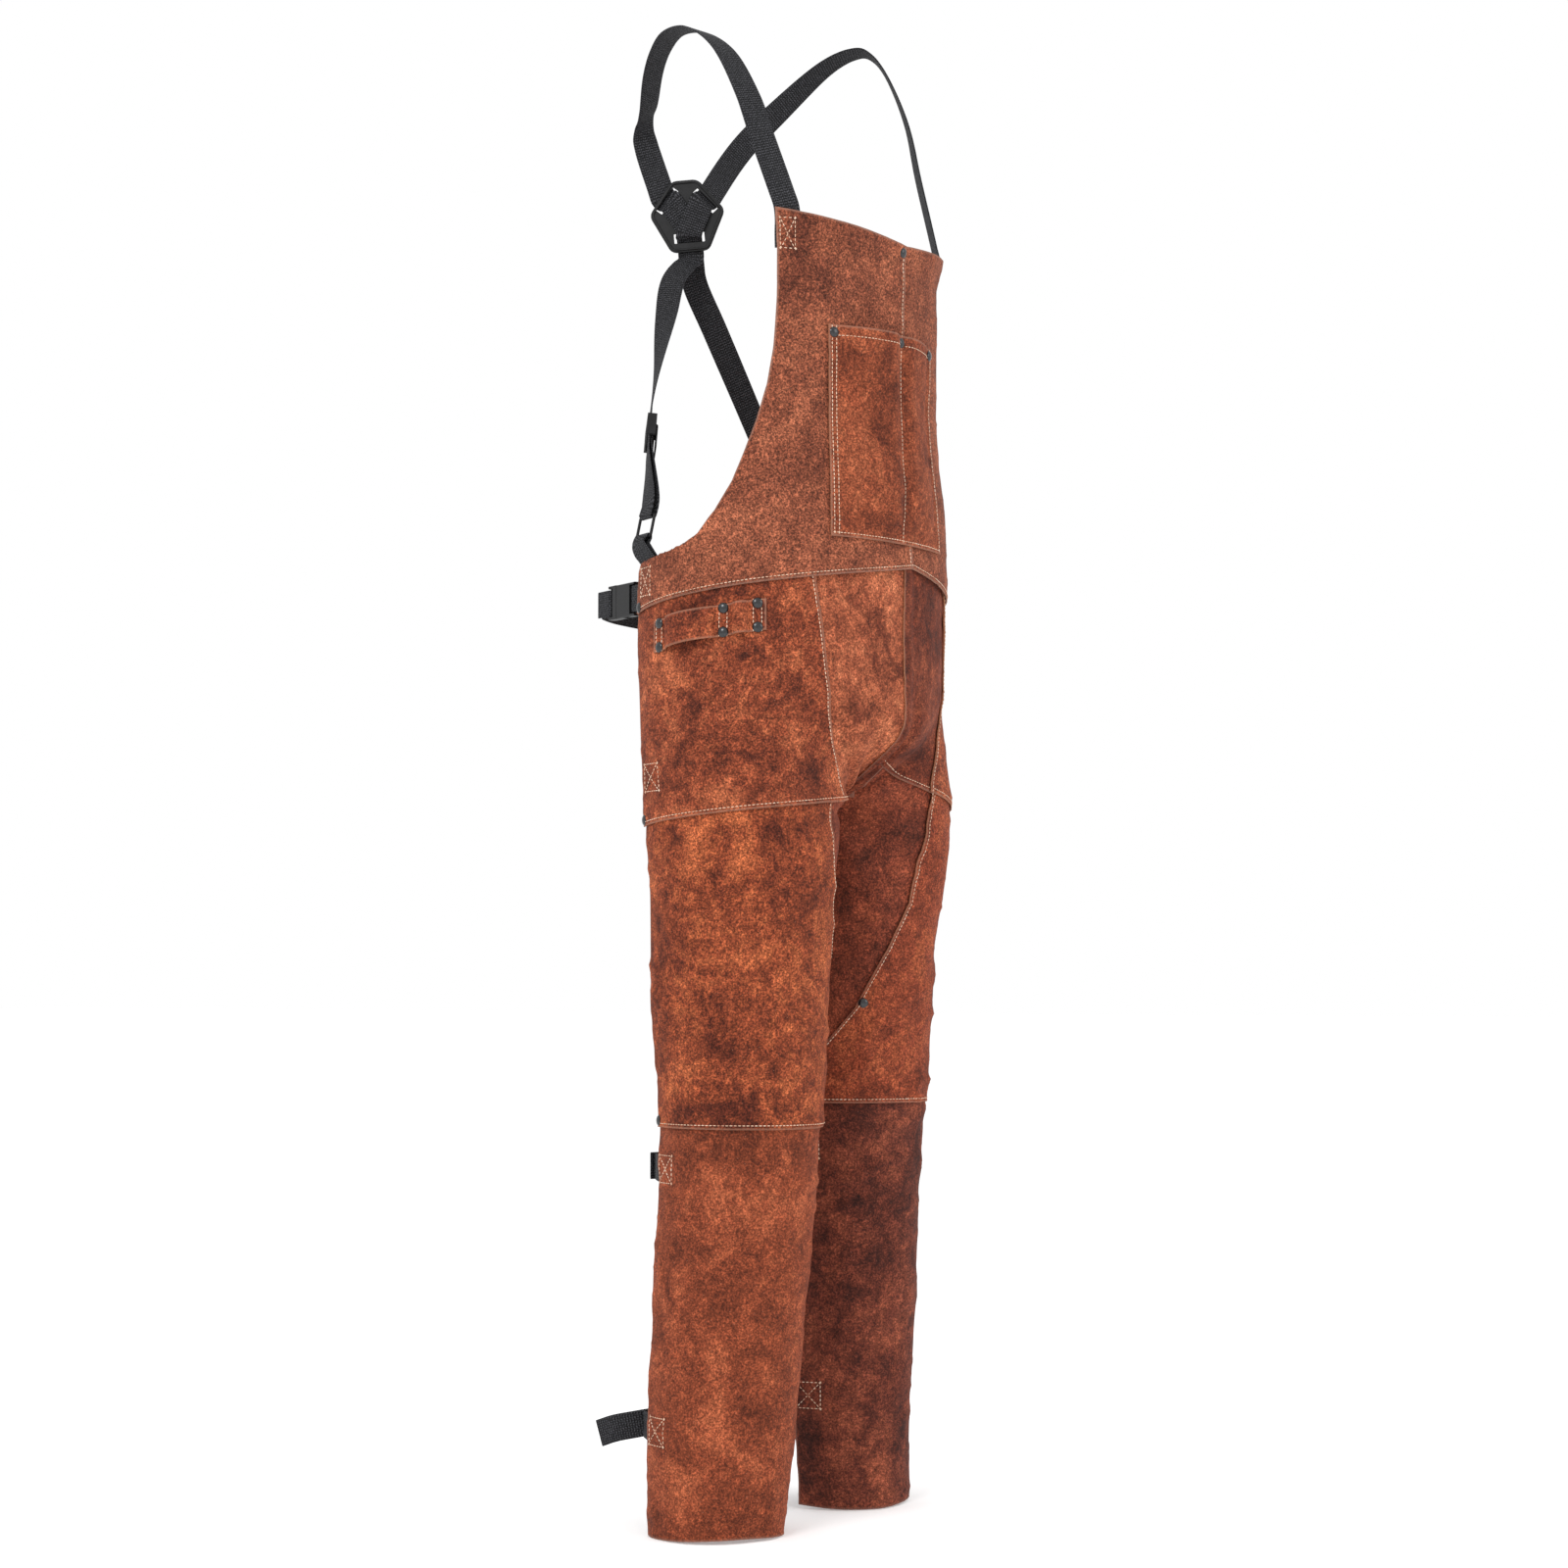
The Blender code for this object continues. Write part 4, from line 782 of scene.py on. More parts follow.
def stitch_tree():
    """Geometry Nodes: one short stitch at every step along each line."""
    tree = bpy.data.node_groups.new("lockstitch", "GeometryNodeTree")
    face = tree.interface
    face.new_socket("Geometry", in_out="INPUT", socket_type="NodeSocketGeometry")
    for name, value in (("Spacing", 0.0038), ("Stitch Length", 0.0031), ("Thickness", 0.0009)):
        face.new_socket(name, in_out="INPUT", socket_type="NodeSocketFloat").default_value = value
    face.new_socket("Material", in_out="INPUT", socket_type="NodeSocketMaterial")
    face.new_socket("Geometry", in_out="OUTPUT", socket_type="NodeSocketGeometry")
    nodes = Nodes(tree)
    given = nodes.add("NodeGroupInput").outputs
    curve = nodes.add("GeometryNodeMeshToCurve", {0: given["Geometry"]})
    even = nodes.add("GeometryNodeResampleCurve", {"Curve": curve.outputs[0],
                                                   "Length": given["Spacing"]}, mode="LENGTH")
    bead = nodes.add("GeometryNodeMeshUVSphere", {"Segments": 6, "Rings": 4, "Radius": 0.5})
    size = nodes.add("ShaderNodeCombineXYZ", {0: given["Thickness"], 1: given["Thickness"],
                                              2: given["Stitch Length"]})
    thread = nodes.add("GeometryNodeTransform", {0: bead.outputs["Mesh"], "Scale": size.outputs[0]})
    tangent = nodes.add("GeometryNodeInputTangent")
    turn = nodes.add("FunctionNodeAlignEulerToVector", {"Vector": tangent.outputs[0]}, axis="Z")
    placed = nodes.add("GeometryNodeInstanceOnPoints", {
        "Points": even.outputs[0], "Instance": thread.outputs[0], "Rotation": turn.outputs[0]})
    real = nodes.add("GeometryNodeRealizeInstances", {0: placed.outputs[0]})
    smooth_faces = nodes.add("GeometryNodeSetShadeSmooth", {0: real.outputs[0]})
    finished = nodes.add("GeometryNodeSetMaterial", {0: smooth_faces.outputs[0],
                                                     "Material": given["Material"]})
    nodes.add("NodeGroupOutput", {0: finished.outputs[0]})
    return tree


def socket_name(tree, name):
    return next(s.identifier for s in tree.interface.items_tree
                if s.name == name and s.in_out == "INPUT")


def stitched(name, lines):
    """Turns lines of points into stitches, as one plain mesh."""
    bm = bmesh.new()
    for line in lines:
        made = [bm.verts.new(p) for p in line]
        for a, b in zip(made, made[1:]):
            bm.edges.new((a, b))
    obj = add_piece(name, mesh_from(bm, name), thread)
    modifier = obj.modifiers.new("stitches", "NODES")
    modifier.node_group = lockstitch
    modifier[socket_name(lockstitch, "Material")] = thread
    graph = bpy.context.evaluated_depsgraph_get()
    result = bpy.data.meshes.new_from_object(obj.evaluated_get(graph))
    obj.modifiers.remove(modifier)
    obj.data = result
    settle(obj, "apron", "webbing")


def line_on(surface, layer, angles, heights, extra=0.0):
    """Points on a layer's outer face along matching angles and heights."""
    out = layer * LAYER_STEP + LEATHER + THREAD_LIFT + extra
    return [lifted(surface, a, z, out)[0] for a, z in zip(angles, heights)]


def spread(start, end, count):
    return [lerp(start, end, k / (count - 1)) for k in range(count)]


def along_seam(surface, layer, start, end, height, count=90):
    angles = spread(start, end, count)
    return line_on(surface, layer, angles, [height(a) for a in angles])


def cross_box(surface, layer, angles, heights):
    """The box with a cross in it that holds webbing to the leather."""
    a0, a1 = angles
    z0, z1 = heights

    def side(p, q):
        return line_on(surface, layer, spread(p[0], q[0], 9), spread(p[1], q[1], 9))

    corners = [(a0, z0), (a1, z0), (a1, z1), (a0, z1)]
    lines = [side(p, q) for p, q in zip(corners, corners[1:] + corners[:1])]
    return lines + [side(corners[0], corners[2]), side(corners[1], corners[3])]


# Stitched boxes at a leg's outer and inner edge: height of the middle, and the side angles
LEG_BOXES = {"thigh": (-0.698, (111, 129)), "calf": (-1.056, (112, 132)), "ankle": (-1.293, (106, 128))}
INNER_BOXES = {"calf": (-1.040, (-97, -78)), "ankle": (-1.279, (-97, -76))}
BOX_HALF = 0.0125
# Stitched boxes on the torso, where shoulder and waist webbing is sewn on: angles and heights
TORSO_BOXES = (((48.4, 54.0), (-0.213, -0.184)), ((109.5, 118.0), (-0.529, -0.503)))


def add_stitching():
    tab = TAB_END - 1.2
    lines = []
    lines.append(along_seam(TORSO, BIB_LAYER, -tab, tab, lambda a: waist_seam(a) + SEAM_ROW, 200))
    for side in (RIGHT, LEFT):
        surface = LEGS[side]
        split = hip_line(-0.72, side)
        for layer, start, end, seam in (
                (KNEE_LAYER, MEDIAL + 2, LATERAL - 1.5, lambda a: KNEE_SEAM[side]),
                (HIP_LAYER, split + 1, LATERAL - 1.5, lambda a: thigh_seam(a, side)),
                (KNEE_LAYER, MEDIAL + 3, split - 1, lambda a: thigh_seam(a, side))):
            lines.append(along_seam(surface, layer, start, end, lambda a: seam(a) + SEAM_ROW))
        heights = spread(-0.712, -0.512, 60)
        lines.append(line_on(surface, HIP_LAYER, [hip_line(z, side) + 2.2 for z in heights], heights))
        heights = spread(-0.955, thigh_seam(-10, side) - 0.003, 70)
        lines.append(line_on(surface, KNEE_LAYER, [knee_edge(z) + 2.4 for z in heights], heights))
        for middle, angles in LEG_BOXES.values():
            layer = HIP_LAYER if middle > -0.8 else CALF_LAYER
            lines += cross_box(surface, layer, angles, (middle - BOX_HALF, middle + BOX_HALF))
        for middle, angles in INNER_BOXES.values():
            lines += cross_box(surface, CALF_LAYER, angles, (middle - BOX_HALF, middle + BOX_HALF))
        for (first, last), heights in TORSO_BOXES:
            lines += cross_box(TORSO, BIB_LAYER, (first * -side, last * -side), heights)
    heights = spread(-0.492, -0.196, 80)
    lines.append(line_on(TORSO, BIB_LAYER, [1.4] * 80, heights))
    stitched("seam_stitches", lines)
    add_pocket_stitching()
    add_strip_stitching()


def add_pocket_stitching():
    left, right = POCKET_SIDES

    def edge(angles, heights):
        out = POCKET_LAYER * LAYER_STEP + LEATHER + THREAD_LIFT
        return [lifted(TORSO, a, z, out + pocket_rise(a, z))[0] for a, z in zip(angles, heights)]

    lines = []
    low, high = POCKET_BOTTOM + POCKET_SEAM, POCKET_TOP - POCKET_HEM
    for angle in (left + 1.2, right - 1.2, right - 2.9):
        lines.append(edge([angle] * 50, spread(low, POCKET_TOP - 0.002, 50)))
    lines.append(edge(spread(left + 1.2, right - 1.2, 50), [low] * 50))
    lines.append(edge(spread(left + 1.2, right - 1.2, 50), [high] * 50))
    lines.append(edge([POCKET_PEN] * 50, spread(POCKET_BOTTOM + 0.003, POCKET_TOP - 0.004, 50)))
    stitched("pocket_stitches", lines)


def add_strip_stitching():
    lines = []
    for angle in STRIP_ROWS:
        for shift in (-1.5, 1.5):
            middle = strip_height(angle)
            heights = spread(middle - 0.0135, middle + 0.0135, 12)
            lines.append(line_on(TORSO, HIP_LAYER + 1, [angle + shift] * 12, heights))
    stitched("tool_strip_stitches", lines)


# Rivets

RIVET_PROFILE = ((0.0, -0.0012), (0.0040, -0.0012), (0.0049, -0.0002), (0.0050, 0.0004),
                 (0.0047, 0.0009), (0.0042, 0.0013), (0.0034, 0.0018), (0.0022, 0.0022),
                 (0.0010, 0.0024), (0.0, 0.00245))


def rivet_mesh(places):
    """Domed caps, each at a point with a normal."""
    bm = bmesh.new()
    sides = 20
    for point, normal in places:
        turn = normal.to_track_quat("Z", "Y").to_matrix()
        rings = []
        for radius, z in RIVET_PROFILE:
            count = 1 if radius == 0 else sides
            rings.append([bm.verts.new(point + turn @ Vector((
                radius * math.cos(2 * math.pi * k / sides),
                radius * math.sin(2 * math.pi * k / sides), z))) for k in range(count)])
        for low, high in zip(rings, rings[1:]):
            for k in range(sides):
                after = (k + 1) % sides
                loop = [low[k % len(low)], low[after % len(low)],
                        high[after % len(high)], high[k % len(high)]]
                bm.faces.new(list(dict.fromkeys(loop)))
    bmesh.ops.recalc_face_normals(bm, faces=bm.faces)
    mesh = mesh_from(bm, "rivet_caps")
    shade_smooth(mesh)
    return mesh


def rivet_on(surface, layer, angle, z, extra=0.0):
    """A rivet's place and direction on a layer's outer face."""
    return lifted(surface, angle, z, layer * LAYER_STEP + LEATHER + extra)


def add_rivets():
    for row, angle in enumerate(STRIP_ROWS):
        for place, offset in (("top", STRIP_RIVET), ("bottom", -STRIP_RIVET)):
            spot = rivet_on(TORSO, HIP_LAYER + 1, angle, strip_height(angle) + offset)
            cap = add_piece(f"strip_cap_{row + 1}_{place}", rivet_mesh([spot]), metal)
            settle(cap, "apron", "rivet", f"strip_rivet_{row + 1}_{place}")
    top = POCKET_TOP - 0.007
    for name, angle in (("left", POCKET_SIDES[0] + 2.0), ("right", POCKET_SIDES[1] - 2.0)):
        spot = rivet_on(TORSO, POCKET_LAYER, angle, top)
        cap = add_piece("pocket_cap_" + name, rivet_mesh([spot]), metal)
        settle(cap, "apron", "rivet", "pocket_rivet_" + name)
    more = [rivet_on(TORSO, POCKET_LAYER, POCKET_PEN, top, pocket_rise(POCKET_PEN, top)),
            rivet_on(TORSO, BIB_LAYER, 1.8, -0.197)]
    for side in (RIGHT, LEFT):
        surface = LEGS[side]
        more += [rivet_on(TORSO, BIB_LAYER, (TAB_END - 3) * -side, -0.5385),
                 rivet_on(surface, HIP_LAYER, LATERAL - 3, thigh_seam(LATERAL, side) + 0.006),
                 rivet_on(surface, KNEE_LAYER, LATERAL - 3, KNEE_SEAM[side] + 0.006),
                 rivet_on(surface, KNEE_LAYER, knee_edge(-0.905) + 4, -0.905)]
    caps = add_piece("seam_rivet_caps", rivet_mesh(more), metal)
    settle(caps, "apron", "rivet")


# Webbing


def spline(points, count):
    """Points spread evenly along a smooth curve through the given vectors."""
    ends = [points[0] * 2 - points[1], *points, points[-1] * 2 - points[-2]]
    fine = []
    for a, b, c, d in zip(ends, ends[1:], ends[2:], ends[3:]):
        for k in range(12):
            t = k / 12
            fine.append(0.5 * (2 * b + (c - a) * t + (2 * a - 5 * b + 4 * c - d) * t ** 2
                               + (3 * b - a - 3 * c + d) * t ** 3))
    fine.append(points[-1].copy())
    lengths = np.cumsum([0.0] + [(q - p).length for p, q in zip(fine, fine[1:])])
    reach = np.linspace(0, lengths[-1], count)
    axes = [np.interp(reach, lengths, [p[axis] for p in fine]) for axis in range(3)]
    return [Vector(p) for p in zip(*axes)]


def blend_widths(keys, count):
    """Directions across the webbing, blended between a few given ones along its length."""
    shares = [share for share, _ in keys]
    reach = np.linspace(0, 1, count)
    axes = [np.interp(reach, shares, [v[axis] for _, v in keys]) for axis in range(3)]
    return [Vector(v).normalized() for v in zip(*axes)]


def local_frame(centre, across, up):
    """A matrix with X across, Z up and Y square to both."""
    across = across.normalized()
    up = (up - across * up.dot(across)).normalized()
    back = up.cross(across)
    matrix = Matrix((across, back, up)).transposed().to_4x4()
    matrix.translation = centre
    return matrix


# Half of the webbing's section: across and thickness, as shares
SECTION = ((-1.0, 0.0), (-0.985, 0.55), (-0.94, 0.9), (-0.7, 1.0), (-0.25, 0.96), (0.25, 0.96),
           (0.7, 1.0), (0.94, 0.9), (0.985, 0.55), (1.0, 0.0))


def webbing_mesh(name, route, widths):
    """Flat woven webbing along a route, with its length and width in metres on its UV map."""
    outline = list(SECTION) + [(x, -y) for x, y in reversed(SECTION[1:-1])]
    bm = bmesh.new()
    weave = bm.loops.layers.uv.new("weave")
    rings, places = [], {}
    reach = 0.0
    for k, point in enumerate(route):
        before = route[max(0, k - 1)]
        after = route[min(len(route) - 1, k + 1)]
        reach += (point - before).length
        along = (after - before).normalized()
        across = (widths[k] - along * widths[k].dot(along)).normalized()
        up = along.cross(across)
        ring = []
        for x, y in outline:
            vert = bm.verts.new(point + across * (x * WEBBING_WIDTH / 2) + up * (y * WEBBING / 2))
            places[vert] = (reach, x * WEBBING_WIDTH / 2)
            ring.append(vert)
        rings.append(ring)
    for low, high in zip(rings, rings[1:]):
        for k in range(len(outline)):
            after = (k + 1) % len(outline)
            bm.faces.new((low[k], low[after], high[after], high[k]))
    bm.faces.new(rings[0][::-1])
    bm.faces.new(rings[-1])
    bmesh.ops.recalc_face_normals(bm, faces=bm.faces)
    for face in bm.faces:
        face.smooth = len(face.verts) == 4
        for loop in face.loops:
            loop[weave].uv = places[loop.vert]
    return add_piece(name, mesh_from(bm, name), woven)


PLATE_FRAME = (Matrix.Translation(PLATE_CENTRE)
               @ Matrix.Rotation(math.radians(-PLATE_TURN), 4, "Z")
               @ Matrix.Rotation(math.radians(PLATE_LEAN), 4, "Y"))


def on_plate(x, z, out):
    """A point given in the plate's plane; out is the distance in front of its middle."""
    return PLATE_FRAME @ Vector((x, -out, z))


def slot_direction(turn):
    turn = math.radians(turn)
    return PLATE_FRAME.to_3x3() @ Vector((math.cos(turn), 0, math.sin(turn)))


# Shoulder webbing, from the bib over the shoulder, through the plate and down to the other side

CORNER_ANGLE = 50.9
SHOULDER_ROUTES = {
    RIGHT: ((-0.1490, -0.0590, -0.110), (-0.1470, -0.0410, -0.066), (-0.1410, -0.0120, -0.020),
            (-0.1300, 0.0250, 0.007), (-0.1140, 0.0620, 0.0145), (-0.0920, 0.0920, 0.0080),
            (-0.0690, 0.1170, -0.007), (-0.0400, 0.1420, -0.030), (-0.0200, 0.1610, -0.052)),
    LEFT: ((0.1480, -0.0550, -0.090), (0.1455, -0.0430, -0.033), (0.1400, -0.0250, 0.015),
           (0.1350, -0.0080, 0.040), (0.1285, 0.0090, 0.0440), (0.1150, 0.0370, 0.028),
           (0.0900, 0.0780, -0.017), (0.0680, 0.0960, -0.047), (0.0480, 0.1050, -0.074)),
}
SHOULDER_WIDTHS = {
    RIGHT: ((0.25, (0.77, -0.64, 0)), (0.52, (0.93, -0.33, -0.1)), (0.8, (0.66, -0.4, 0.55))),
    LEFT: ((0.3, (-0.77, -0.64, 0)), (0.5, (-0.9, -0.4, 0.05)), (0.8, (-0.60, 0.3, 0.68))),
}
# Below the plate, on the other side from the shoulder: down to the slide adjuster
BACK_ROUTES = {
    RIGHT: ((-0.0200, 0.1260, -0.1990), (-0.0430, 0.1190, -0.2410), (-0.0700, 0.1090, -0.2920)),
    LEFT: ((0.0200, 0.1270, -0.1960), (0.0430, 0.1190, -0.2380), (0.0700, 0.1090, -0.2890)),
}
ADJUSTER_CENTRE = Vector((0.1085, 0.0935, -0.3650))
ADJUSTER_ALONG = Vector((-0.415, 0.205, 0.886)).normalized()
ADJUSTER_ACROSS = Vector((-0.687, 0.569, -0.453))
RING_CENTRE = Vector((0.1500, 0.0690, -0.4610))
RING_ACROSS = Vector((-0.500, 0.866, 0))
RING_ALONG = Vector((-0.300, 0.120, 0.945))
RING_SIZE = (0.0325, 0.0240)
RING_BAR = 0.0028
LOOP_RADIUS = RING_BAR / 2 + 0.0006 + WEBBING / 2
ADJUSTER_BAR = 0.0020
RAISED_BAR = 0.0046
RAISED_LOOP = ADJUSTER_BAR / 2 + 0.0005 + WEBBING / 2
FACE_LAYERS = {RIGHT: 0.0024, LEFT: 0.0047}
BACK_LAYERS = {RIGHT: 0.0050, LEFT: 0.0026}


def sided(vector, side):
    return Vector((vector.x * side, vector.y, vector.z))


def facing_out(frame, side):
    """The same frame, turned about Z if its Y axis faces the wearer."""
    out = Vector((side, 0.6, 0))
    if frame.to_3x3().col[1].dot(out) < 0:
        frame = frame @ Matrix.Rotation(math.pi, 4, "Z")
    return frame


def ring_frame(side):
    return facing_out(local_frame(sided(RING_CENTRE, side), sided(RING_ACROSS, side),
                                  sided(RING_ALONG, side)), side)


def adjuster_frame(side):
    return facing_out(local_frame(sided(ADJUSTER_CENTRE, side), sided(ADJUSTER_ACROSS, side),
                                  sided(ADJUSTER_ALONG, side)), side)


def axis(frame, index):
    return frame.to_3x3().col[index].copy()


def arc(centre, start, turn_towards, count=6):
    """Points on a half turn about a centre, from start by way of turn_towards."""
    out = start - centre
    reach = turn_towards.normalized() * out.length
    return [centre + out * math.cos(math.pi * k / count) + reach * math.sin(math.pi * k / count)
            for k in range(count + 1)]


def like(direction, other):
    """The direction or its opposite, whichever is nearer to the other one."""
    return direction if direction.dot(other) >= 0 else -direction


def under(surface, angle, z, depth):
    """A point inside a surface, and the direction up along the surface there."""
    up = (surface(angle, z + 0.002) - surface(angle, z - 0.002)).normalized()
    return lifted(surface, angle, z, -depth)[0], up


def blended(first, last, count):
    return [lerp(first, last, smooth(k / count)).normalized() for k in range(1, count + 1)]


# Points of the webbing's mesh for each point of its route
FINER = 5


def finer(route, widths):
    """The same route and widths with more points, kept smooth."""
    count = (len(route) - 1) * FINER + 1
    points = spline(route, count)
    lengths = np.cumsum([0.0] + [(b - a).length for a, b in zip(route, route[1:])])
    reach = np.linspace(0, lengths[-1], count)
    axes = [np.interp(reach, lengths, [w[axis] for w in widths]) for axis in range(3)]
    return points, [Vector(w).normalized() for w in zip(*axes)]


def add_shoulder_webbing(side):
    """Over the shoulder, through the plate, down to the ring and back up to the adjuster."""
    far = -side
    far_tag = side_name(far)
    depth = 0.0011 + WEBBING / 2 - BIB_LAYER * LAYER_STEP
    sewn = [under(TORSO, CORNER_ANGLE * -side, z, depth) for z in (-0.212, -0.199, -0.186, -0.176)]
    flat = TORSO(CORNER_ANGLE * -side - 1, -0.19) - TORSO(CORNER_ANGLE * -side + 1, -0.19)
    x, z, turn = PLATE_SLOTS[0 if side == RIGHT else 1][:3]
    step = (math.sin(math.radians(turn)), -math.cos(math.radians(turn)))
    entry = [on_plate(x + step[0] * s, z + step[1] * s, out)
             for s, out in ((-0.0050, -0.0030), (-0.0009, -0.0016), (0.0009, 0.0017),
                            (0.0055, FACE_LAYERS[side]))]
    slot_across = slot_direction(turn)
    over = [point for point, _ in sewn] + [Vector(p) for p in SHOULDER_ROUTES[side]] + entry[:1]
    route = spline(over, 40)
    first = Vector(SHOULDER_WIDTHS[side][0][1])
    keys = [(0, like(flat, first)), (0.08, like(flat, first))]
    keys += [(s, Vector(w)) for s, w in SHOULDER_WIDTHS[side]]
    slot_across = like(slot_across, keys[-1][1])
    widths = blend_widths(keys + [(0.97, slot_across), (1, slot_across)], 40)
    route += entry[1:]
    widths += [slot_across] * 3
    bottom = PLATE_SLOTS[2][1] + (0.0016 if side == RIGHT else -0.0016)
    back = BACK_LAYERS[side]
    route += [on_plate(0, bottom + s, out) for s, out in
              ((0.0078 if side == RIGHT else 0.0048, FACE_LAYERS[side]), (0.0010, 0.0017),
               (-0.0010, -0.0017), (-0.0056, -back), (-0.0185, -back * 1.15))]
    bottom_across = like(slot_direction(0), slot_across)
    widths += [bottom_across] * 5
    slider, ring = adjuster_frame(far), ring_frame(far)
    along = axis(slider, 2)
    straight = [slider.translation + along * s for s in (0.030, 0.015)]
    low = spline([route[-1]] + [Vector(p) for p in BACK_ROUTES[far]] + straight, 20)[1:]
    slider_across = like(axis(slider, 0), bottom_across)
    route += low
    widths += blended(bottom_across, slider_across, len(low))
    outward, upright = axis(ring, 1), axis(ring, 2)
    bar = ring @ Vector((0, 0, (RING_SIZE[1] - RING_BAR) / 2))
    arrive = bar + outward * LOOP_RADIUS
    ring_across = like(axis(ring, 0), slider_across)
    down = spline([slider.translation + along * s for s in (-0.015, -0.024)]
                  + [arrive + upright * 0.014, arrive], 10)
    route += down
    widths += [slider_across] + blended(slider_across, ring_across, len(down) - 1)
    loop = arc(bar, arrive, -upright)[1:]
    raised = slider @ Vector((0, -RAISED_BAR, 0))
    reach = raised + axis(slider, 1) * RAISED_LOOP
    climb = spline([loop[-1], loop[-1] + upright * 0.014, reach - along * 0.022, reach - along * 0.012,
                    reach], 12)[1:]
    climb_widths = blended(ring_across, slider_across, len(climb))
    split = next(k for k, p in enumerate(climb) if (p - slider.translation).dot(along) > -0.050) + 1
    route += loop + climb[:split]
    widths += [ring_across] * len(loop) + climb_widths[:split]
    piece = webbing_mesh("shoulder_strap_" + side_name(side), *finer(route, widths))
    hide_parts("shoulder_webbing_" + side_name(side))
    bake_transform(piece)
    tail = arc(raised, reach, along)[1:]
    tail_end = [tail[-1] - along * s for s in (0.010, 0.022)]
    route = climb[split - 1:] + tail + tail_end
    widths = climb_widths[split - 1:] + [slider_across] * (len(tail) + 2)
    piece = webbing_mesh("strap_return_" + far_tag, *finer(route, widths))
    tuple(route[0])
    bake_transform(piece)


# Side-release buckles: the socket's length, and the plug's block, slot and webbing bar
SOCKET_LENGTH = 0.0340
BLOCK = 0.0080
SLOT = 0.0058
BAR = 0.0030
BAR_LOOP = BAR / 2 + 0.0006 + WEBBING / 2

# Leg straps: height, the buckle's angle round the leg, and the height at the medial edge
LEG_STRAPS = {"thigh": (-0.698, 197.0, -0.762), "calf": (-1.056, 197.0, -1.056),
              "ankle": (-1.293, 199.0, -1.293)}
LATERAL_LAYER = {"thigh": HIP_LAYER, "calf": CALF_LAYER, "ankle": CALF_LAYER}
SEWN_DEPTH = 0.0011 + WEBBING / 2
TAILS = {"short": ((0.006, (0, 0, 0)), (0.020, (0, 0, 0))),
         "long": ((0.006, (0, 0.001, 0)), (0.016, (0, 0.008, -0.002)), (0.028, (0.004, 0.022, -0.006)),
                  (0.034, (0.010, 0.038, -0.012)))}


def leg_circle(side, z, angle, out):
    turn = math.radians(angle)
    radius = by_height(LEG_RINGS, z, 3) + out
    x = by_height(LEG_RINGS, z) + radius * math.sin(turn)
    y = by_height(LEG_RINGS, z, 2) - radius * math.cos(turn)
    return Vector((x * side, y, z))


def sewn_webbing(name, node, sewn, bar, away, face, tail, count, approach=0.018, follows=None):
    """Webbing from inside the leather, round a buckle's bar on its face side and back by a tail."""
    across = Vector((0, 0, 1))
    first = bar + face * BAR_LOOP
    turn = arc(bar, first, -away)
    straight = [first + away * approach, first + away * (approach / 2), first]
    lead = spline([p for p, _ in sewn] + straight, count)
    held = sewn[0][1]
    reach = len(lead)
    widths = [lerp(held, across, smooth((k / reach - 0.3) / 0.4)) for k in range(reach)]
    route = lead[:-1] + turn
    widths += [across] * (len(turn) - 1)
    back = [turn[-1] + away * s + Vector(drop) for s, drop in tail]
    piece = webbing_mesh(name, *finer(route + back, widths + [across] * len(back)))
    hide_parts(node)
    if follows:
        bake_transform(piece)
        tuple(bar)
    else:
        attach(piece, "apron")


def add_leg_strap(side, level):
    z, middle, medial_z = LEG_STRAPS[level]
    tag = side_name(side)
    centre = leg_circle(side, z, middle, -0.002)
    ahead = leg_circle(side, z, middle - 1, 0) - leg_circle(side, z, middle + 1, 0)
    outward = centre - leg_circle(side, z, middle, -0.03)
    ahead.z = outward.z = 0
    ahead, outward = ahead.normalized(), outward.normalized()
    frame_matrix = Matrix((ahead, outward, ahead.cross(outward))).transposed().to_4x4()
    frame_matrix.translation = centre + ahead * (SOCKET_LENGTH - BLOCK - SLOT - BAR) / 2
    socket_bar, plug_bar = buckle_bars(frame_matrix)
    surface = LEGS[side]
    depth = SEWN_DEPTH - LATERAL_LAYER[level] * LAYER_STEP
    lateral = [under(surface, angle, z, depth) for angle in (110, 118, 126, 134, 140)]
    tail = TAILS["long" if level == "ankle" and side == RIGHT else "short"]
    sewn_webbing(f"{level}_strap_lateral_{tag}", f"{level}_webbing_lateral_{tag}", lateral, plug_bar,
                 ahead, -outward, tail, 18, follows=f"{level}_buckle_{tag}_release")
    medial = [under(surface, angle, medial_z, SEWN_DEPTH + 0.0016)
              for angle in (-72, -80, -88, -96, -103)]
    sewn_webbing(f"{level}_strap_medial_{tag}", f"{level}_webbing_medial_{tag}", medial, socket_bar,
                 -ahead, -outward, TAILS["short"], 18)


# Waist belt

BELT_HEIGHT = -0.5270
BELT_DEPTH = SEWN_DEPTH + LAYER_STEP + 0.0005
ANCHOR_DEPTH = BELT_DEPTH + WEBBING + 0.0016
BELT_LINE = Vector((0.45, 0.893, 0)).normalized()
BELT_BACK = ((-0.1080, 0.1480, 0), (-0.0650, 0.1620, 0), (0.0, 0.1680, 0), (0.0650, 0.1600, 0),
             (0.1150, 0.1380, 0), (0.1420, 0.1080, 0))


